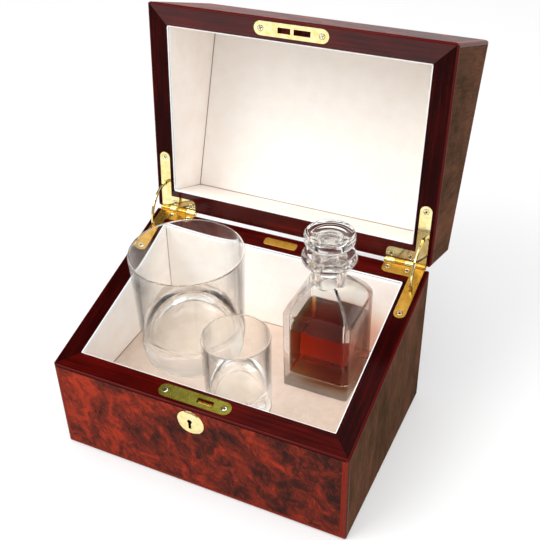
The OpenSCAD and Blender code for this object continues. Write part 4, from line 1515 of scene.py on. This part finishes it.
@dataclass
class Decanter:
    """The square decanter with its vaulted shoulder, its stopper and the whisky in it.

    Attributes:
        dish: Points of the hollow in the disc's top: in from its rim, and down from its top.
        dish_depth: Depth of the hollow at its middle.
        whisky_crisp: Angle in degrees above which an edge of the whisky stays crisp.
        gap: Distance of the whisky from the glass; below zero it reaches into the glass.
        foot: The whisky's rounded foot: in from the glass, and up from the floor.
        meniscus: Its climbing edge: in from the glass, and up from its level.
    """

    shop: Workshop
    at: tuple[float, float] = (57.15, 34.3)
    mouth_z: float = 117.5
    bore_r: float = 8.0
    taper: float = 1.0
    plug_l: float = 18.0
    plug_play: float = 0.08
    plug_edge: float = 0.8
    stem_r: float = 9.3
    stem_h: float = 8.0
    disc_r: float = 18.9
    disc_top: float = 17.4
    disc_edge: float = 3.0
    dish: tuple[tuple[float, float], ...] = ((5.5, 0.4), (6.8, 1.0), (8.0, 1.6), (12.0, 2.2))
    dish_depth: float = 2.4
    seat: float = 0.1
    level: float = 54.8
    floor_t: float = 12.0
    hollow: float = 44.9
    corner: float = 3.5
    least_corner: float = 0.8
    whisky_crisp: float = 50
    gap: float = -0.05
    foot: tuple[tuple[float, float], ...] = ((1.2, 0.0), (0.35, 0.35), (0.0, 1.2))
    meniscus: tuple[tuple[float, float], ...] = (
        (0.0, 0.9), (0.25, 0.45), (0.7, 0.15), (1.6, 0.0), (4.0, 0.0),
    )

    def stopper_profile(self) -> list[tuple[float, float]]:
        """Draws the stopper's section: ground plug, waisted stem and dished disc."""
        plug = self.bore_r - self.plug_play
        tip = plug - self.taper
        edge, rim, top = self.disc_edge, self.disc_r, self.disc_top
        return (
            [(0, -self.plug_l), (tip - self.plug_edge, -self.plug_l), (tip, self.plug_edge - self.plug_l)]
            + [(plug, 0.0), (plug, self.seat), (self.stem_r, self.seat)]
            + arc(self.stem_r + edge, self.stem_h - edge, edge, 180, 100, 12)
            + arc(rim - edge, self.stem_h + edge, edge, -90, 0, 12)
            + arc(rim - edge, top - edge, edge, 0, 90, 12)
            + [(rim - inwards, top - down) for inwards, down in self.dish]
            + [(0, top - self.dish_depth)]
        )

    def whisky_mesh(self) -> bpy.types.Mesh:
        """Builds the liquid with the meniscus that climbs the glass.

        Returns:
            The mesh, in metres.
        """
        bottom = CASE.floor_z + self.floor_t + self.gap
        top = CASE.floor_z + self.level
        rows = [(inset, bottom + up) for inset, up in self.foot]
        rows += [(inset, top + up) for inset, up in self.meniscus]
        rings = []
        for inset, z in rows:
            half = self.hollow / 2 - self.gap - inset
            r = max(self.corner - inset, self.least_corner)
            corners = ((1, 1, 0), (-1, 1, 90), (-1, -1, 180), (1, -1, 270))
            rings.append([
                Vector((self.at[0] + x, self.at[1] + y, z)) * MM
                for cx, cy, start in corners
                for x, y in arc(cx * (half - r), cy * (half - r), r, start, start + 90, 8)
            ])
        return skin("whisky", rings, self.whisky_crisp)

    def build(self, crystal: bpy.types.Material, whisky: bpy.types.Material) -> None:
        """Builds the three pieces.

        Args:
            crystal: The glass.
            whisky: The liquid.
        """
        self.shop.softened("decanter", "decanter", "crystal", crystal, 0.5, 24, 3)
        spirit = self.shop.add("whisky_level", self.whisky_mesh(), whisky)
        self.shop.finish(spirit, "decanter", "spirit", ("spirit",))
        at = Vector((self.at[0], self.at[1], CASE.floor_z + self.mouth_z)) * MM
        stopper = self.shop.turned("stopper_turned", self.stopper_profile(), at, crystal)
        self.shop.finish(stopper, "stopper", "crystal", ("stopper",))


@dataclass(frozen=True)
class Lamp:
    """A soft box: its place and size in metres and its power in watts."""

    name: str
    at: tuple[float, float, float]
    size: tuple[float, float]
    power: float


@dataclass
class Studio:
    """The plain pale floor, the soft lamps, the white surroundings and the camera."""

    lens: float = 60.532
    place: tuple[float, float, float] = (0.253356, -0.476107, 0.538465)
    right: tuple[float, float, float] = (0.892229, 0.449258, -0.045760)
    down: tuple[float, float, float] = (0.237825, -0.553613, -0.798093)
    forward: tuple[float, float, float] = (-0.383883, 0.701199, -0.600794)
    shift: tuple[float, float] = (0.07187, 0.03519)
    ambient: float = 0.7
    wall: float = 0.38
    ceiling: float = 0.12
    wall_to: float = 0.15
    ceiling_from: float = 0.75
    aim: tuple[float, float, float] = (0, 0, 0.12)
    floor_r: float = 6.0
    paper: str = "#d4d4d4"
    glow: float = 0.3
    lamps: tuple[Lamp, ...] = (
        Lamp("key", (-0.9, -1.1, 1.5), (1.2, 1.2), 19.0),
        Lamp("fill", (1.5, -0.9, 1.0), (1.2, 1.2), 7.0),
        Lamp("top", (0.0, -0.2, 1.9), (1.6, 1.6), 12.0),
    )

    def camera(self) -> None:
        """Sets the camera at the photograph's place."""
        data = bpy.data.cameras.new("camera")
        data.lens = self.lens
        data.sensor_width = 36.0
        data.shift_x, data.shift_y = self.shift
        data.clip_start = 0.01
        obj = bpy.data.objects.new("camera", data)
        rows = zip(self.right, (-v for v in self.down), (-v for v in self.forward), self.place)
        obj.matrix_world = Matrix([[*row] for row in rows] + [[0, 0, 0, 1]])
        bpy.context.scene.collection.objects.link(obj)
        bpy.context.scene.camera = obj

    def hang(self, lamp: Lamp) -> None:
        """Hangs one soft box.

        Args:
            lamp: The soft box.
        """
        data = bpy.data.lights.new(lamp.name, "AREA")
        data.shape = "RECTANGLE"
        data.size, data.size_y = lamp.size
        data.energy = lamp.power
        obj = bpy.data.objects.new(lamp.name, data)
        turn = (Vector(self.aim) - Vector(lamp.at)).to_track_quat("-Z", "Y")
        obj.matrix_world = Matrix.Translation(lamp.at) @ turn.to_matrix().to_4x4()
        bpy.context.scene.collection.objects.link(obj)

    def white_rays(self, tree: bpy.types.NodeTree) -> Socket:
        """Tells rays that see the background from rays that light the object.

        Args:
            tree: The tree that gets the nodes.

        Returns:
            A socket that is 1 for camera, glossy and transmitted rays.
        """
        path = add_node(tree, "ShaderNodeLightPath").outputs
        first = add_node(tree, "ShaderNodeMath", {
            0: path["Is Camera Ray"], 1: path["Is Glossy Ray"],
        }, operation="MAXIMUM")
        return add_node(tree, "ShaderNodeMath", {
            0: first.outputs[0], 1: path["Is Transmission Ray"],
        }, operation="MAXIMUM").outputs[0]

    def surroundings(self) -> None:
        """Makes the world white to the eye, softer as a light and dim in the first mirror image."""
        world = bpy.data.worlds.new("studio")
        world.use_nodes = True
        tree = world.node_tree
        tree.nodes.clear()
        light = add_node(tree, "ShaderNodeBackground", {"Color": "#ffffff", "Strength": self.ambient})
        # The ceiling is dim where polished faces mirror it, and white to the eye and through glass
        sky = add_node(tree, "ShaderNodeTexCoord").outputs["Generated"]
        height = add_node(tree, "ShaderNodeSeparateXYZ", {0: sky}).outputs[2]
        dim = add_node(tree, "ShaderNodeMapRange", {
            0: height, 1: self.wall_to, 2: self.ceiling_from, 3: self.wall, 4: self.ceiling,
        }, interpolation_type="SMOOTHSTEP")
        path = add_node(tree, "ShaderNodeLightPath").outputs
        outside = add_node(tree, "ShaderNodeMath", {
            0: path["Transmission Depth"], 1: 0.5,
        }, operation="LESS_THAN")
        mirrored = add_node(tree, "ShaderNodeMath", {
            0: path["Is Glossy Ray"], 1: outside.outputs[0],
        }, operation="MULTIPLY")
        level = add_node(tree, "ShaderNodeMix", {
            0: mirrored.outputs[0], 2: 1.0, 3: dim.outputs[0],
        }, data_type="FLOAT")
        seen = add_node(tree, "ShaderNodeBackground", {"Color": "#ffffff", "Strength": level.outputs[0]})
        both = add_node(tree, "ShaderNodeMixShader", {
            0: self.white_rays(tree), 1: light.outputs[0], 2: seen.outputs[0],
        })
        add_node(tree, "ShaderNodeOutputWorld", {0: both.outputs[0]})
        bpy.context.scene.world = world

    def floor(self) -> None:
        """Lays the pale floor, which keeps the object's shadow."""
        mesh = bpy.data.meshes.new("floor")
        r = self.floor_r
        mesh.from_pydata([(-r, -r, 0), (r, -r, 0), (r, r, 0), (-r, r, 0)], [], [(0, 1, 2, 3)])
        obj = bpy.data.objects.new("floor", mesh)
        bpy.context.scene.collection.objects.link(obj)
        material = bpy.data.materials.new("paper_backdrop")
        material.use_nodes = True
        tree = material.node_tree
        tree.nodes.clear()
        paper = add_node(tree, "ShaderNodeBsdfDiffuse", {"Color": self.paper})
        glow = add_node(tree, "ShaderNodeEmission", {"Color": "#ffffff", "Strength": self.glow})
        bright = add_node(tree, "ShaderNodeAddShader", {0: paper.outputs[0], 1: glow.outputs[0]})
        both = add_node(tree, "ShaderNodeMixShader", {
            0: self.white_rays(tree), 1: paper.outputs[0], 2: bright.outputs[0],
        })
        add_node(tree, "ShaderNodeOutputMaterial", {0: both.outputs[0]})
        mesh.materials.append(material)

    def build(self) -> None:
        """Sets up the whole studio."""
        self.camera()
        self.surroundings()
        self.floor()
        for lamp in self.lamps:
            self.hang(lamp)
        bpy.context.scene.view_settings.view_transform = "Standard"


def main() -> None:
    """Builds the studio and every piece in order."""
    logging.basicConfig(level=logging.INFO, format="%(name)s %(message)s")
    Studio().build()
    shop = Workshop()
    WoodenCase(shop).build()
    SuedeLining(shop).build()
    BrassFittings(shop).build()
    blown = Crystal().material(cut=False)
    TurnedGlass(
        "tumbler", (-56.4, 20.15), rim_r=46.1, height=96.5, foot_r=41.5, foot_h=9, step=1.4,
        base_t=14, flat_r=24, bowl_r=17.5, wall_t=1.7,
    ).build(shop, blown)
    TurnedGlass(
        "shot_glass", (10.0, -29.05), rim_r=26.4, height=70, foot_r=25.3, foot_h=2, step=0.1,
        base_t=15, flat_r=12, bowl_r=11.6, wall_t=1.5,
    ).build(shop, blown)
    Decanter(shop).build(Crystal().material(cut=True), Whisky().material())
    LOG.info("%d pieces", len(shop.made))


if __name__ == "__main__":
    main()
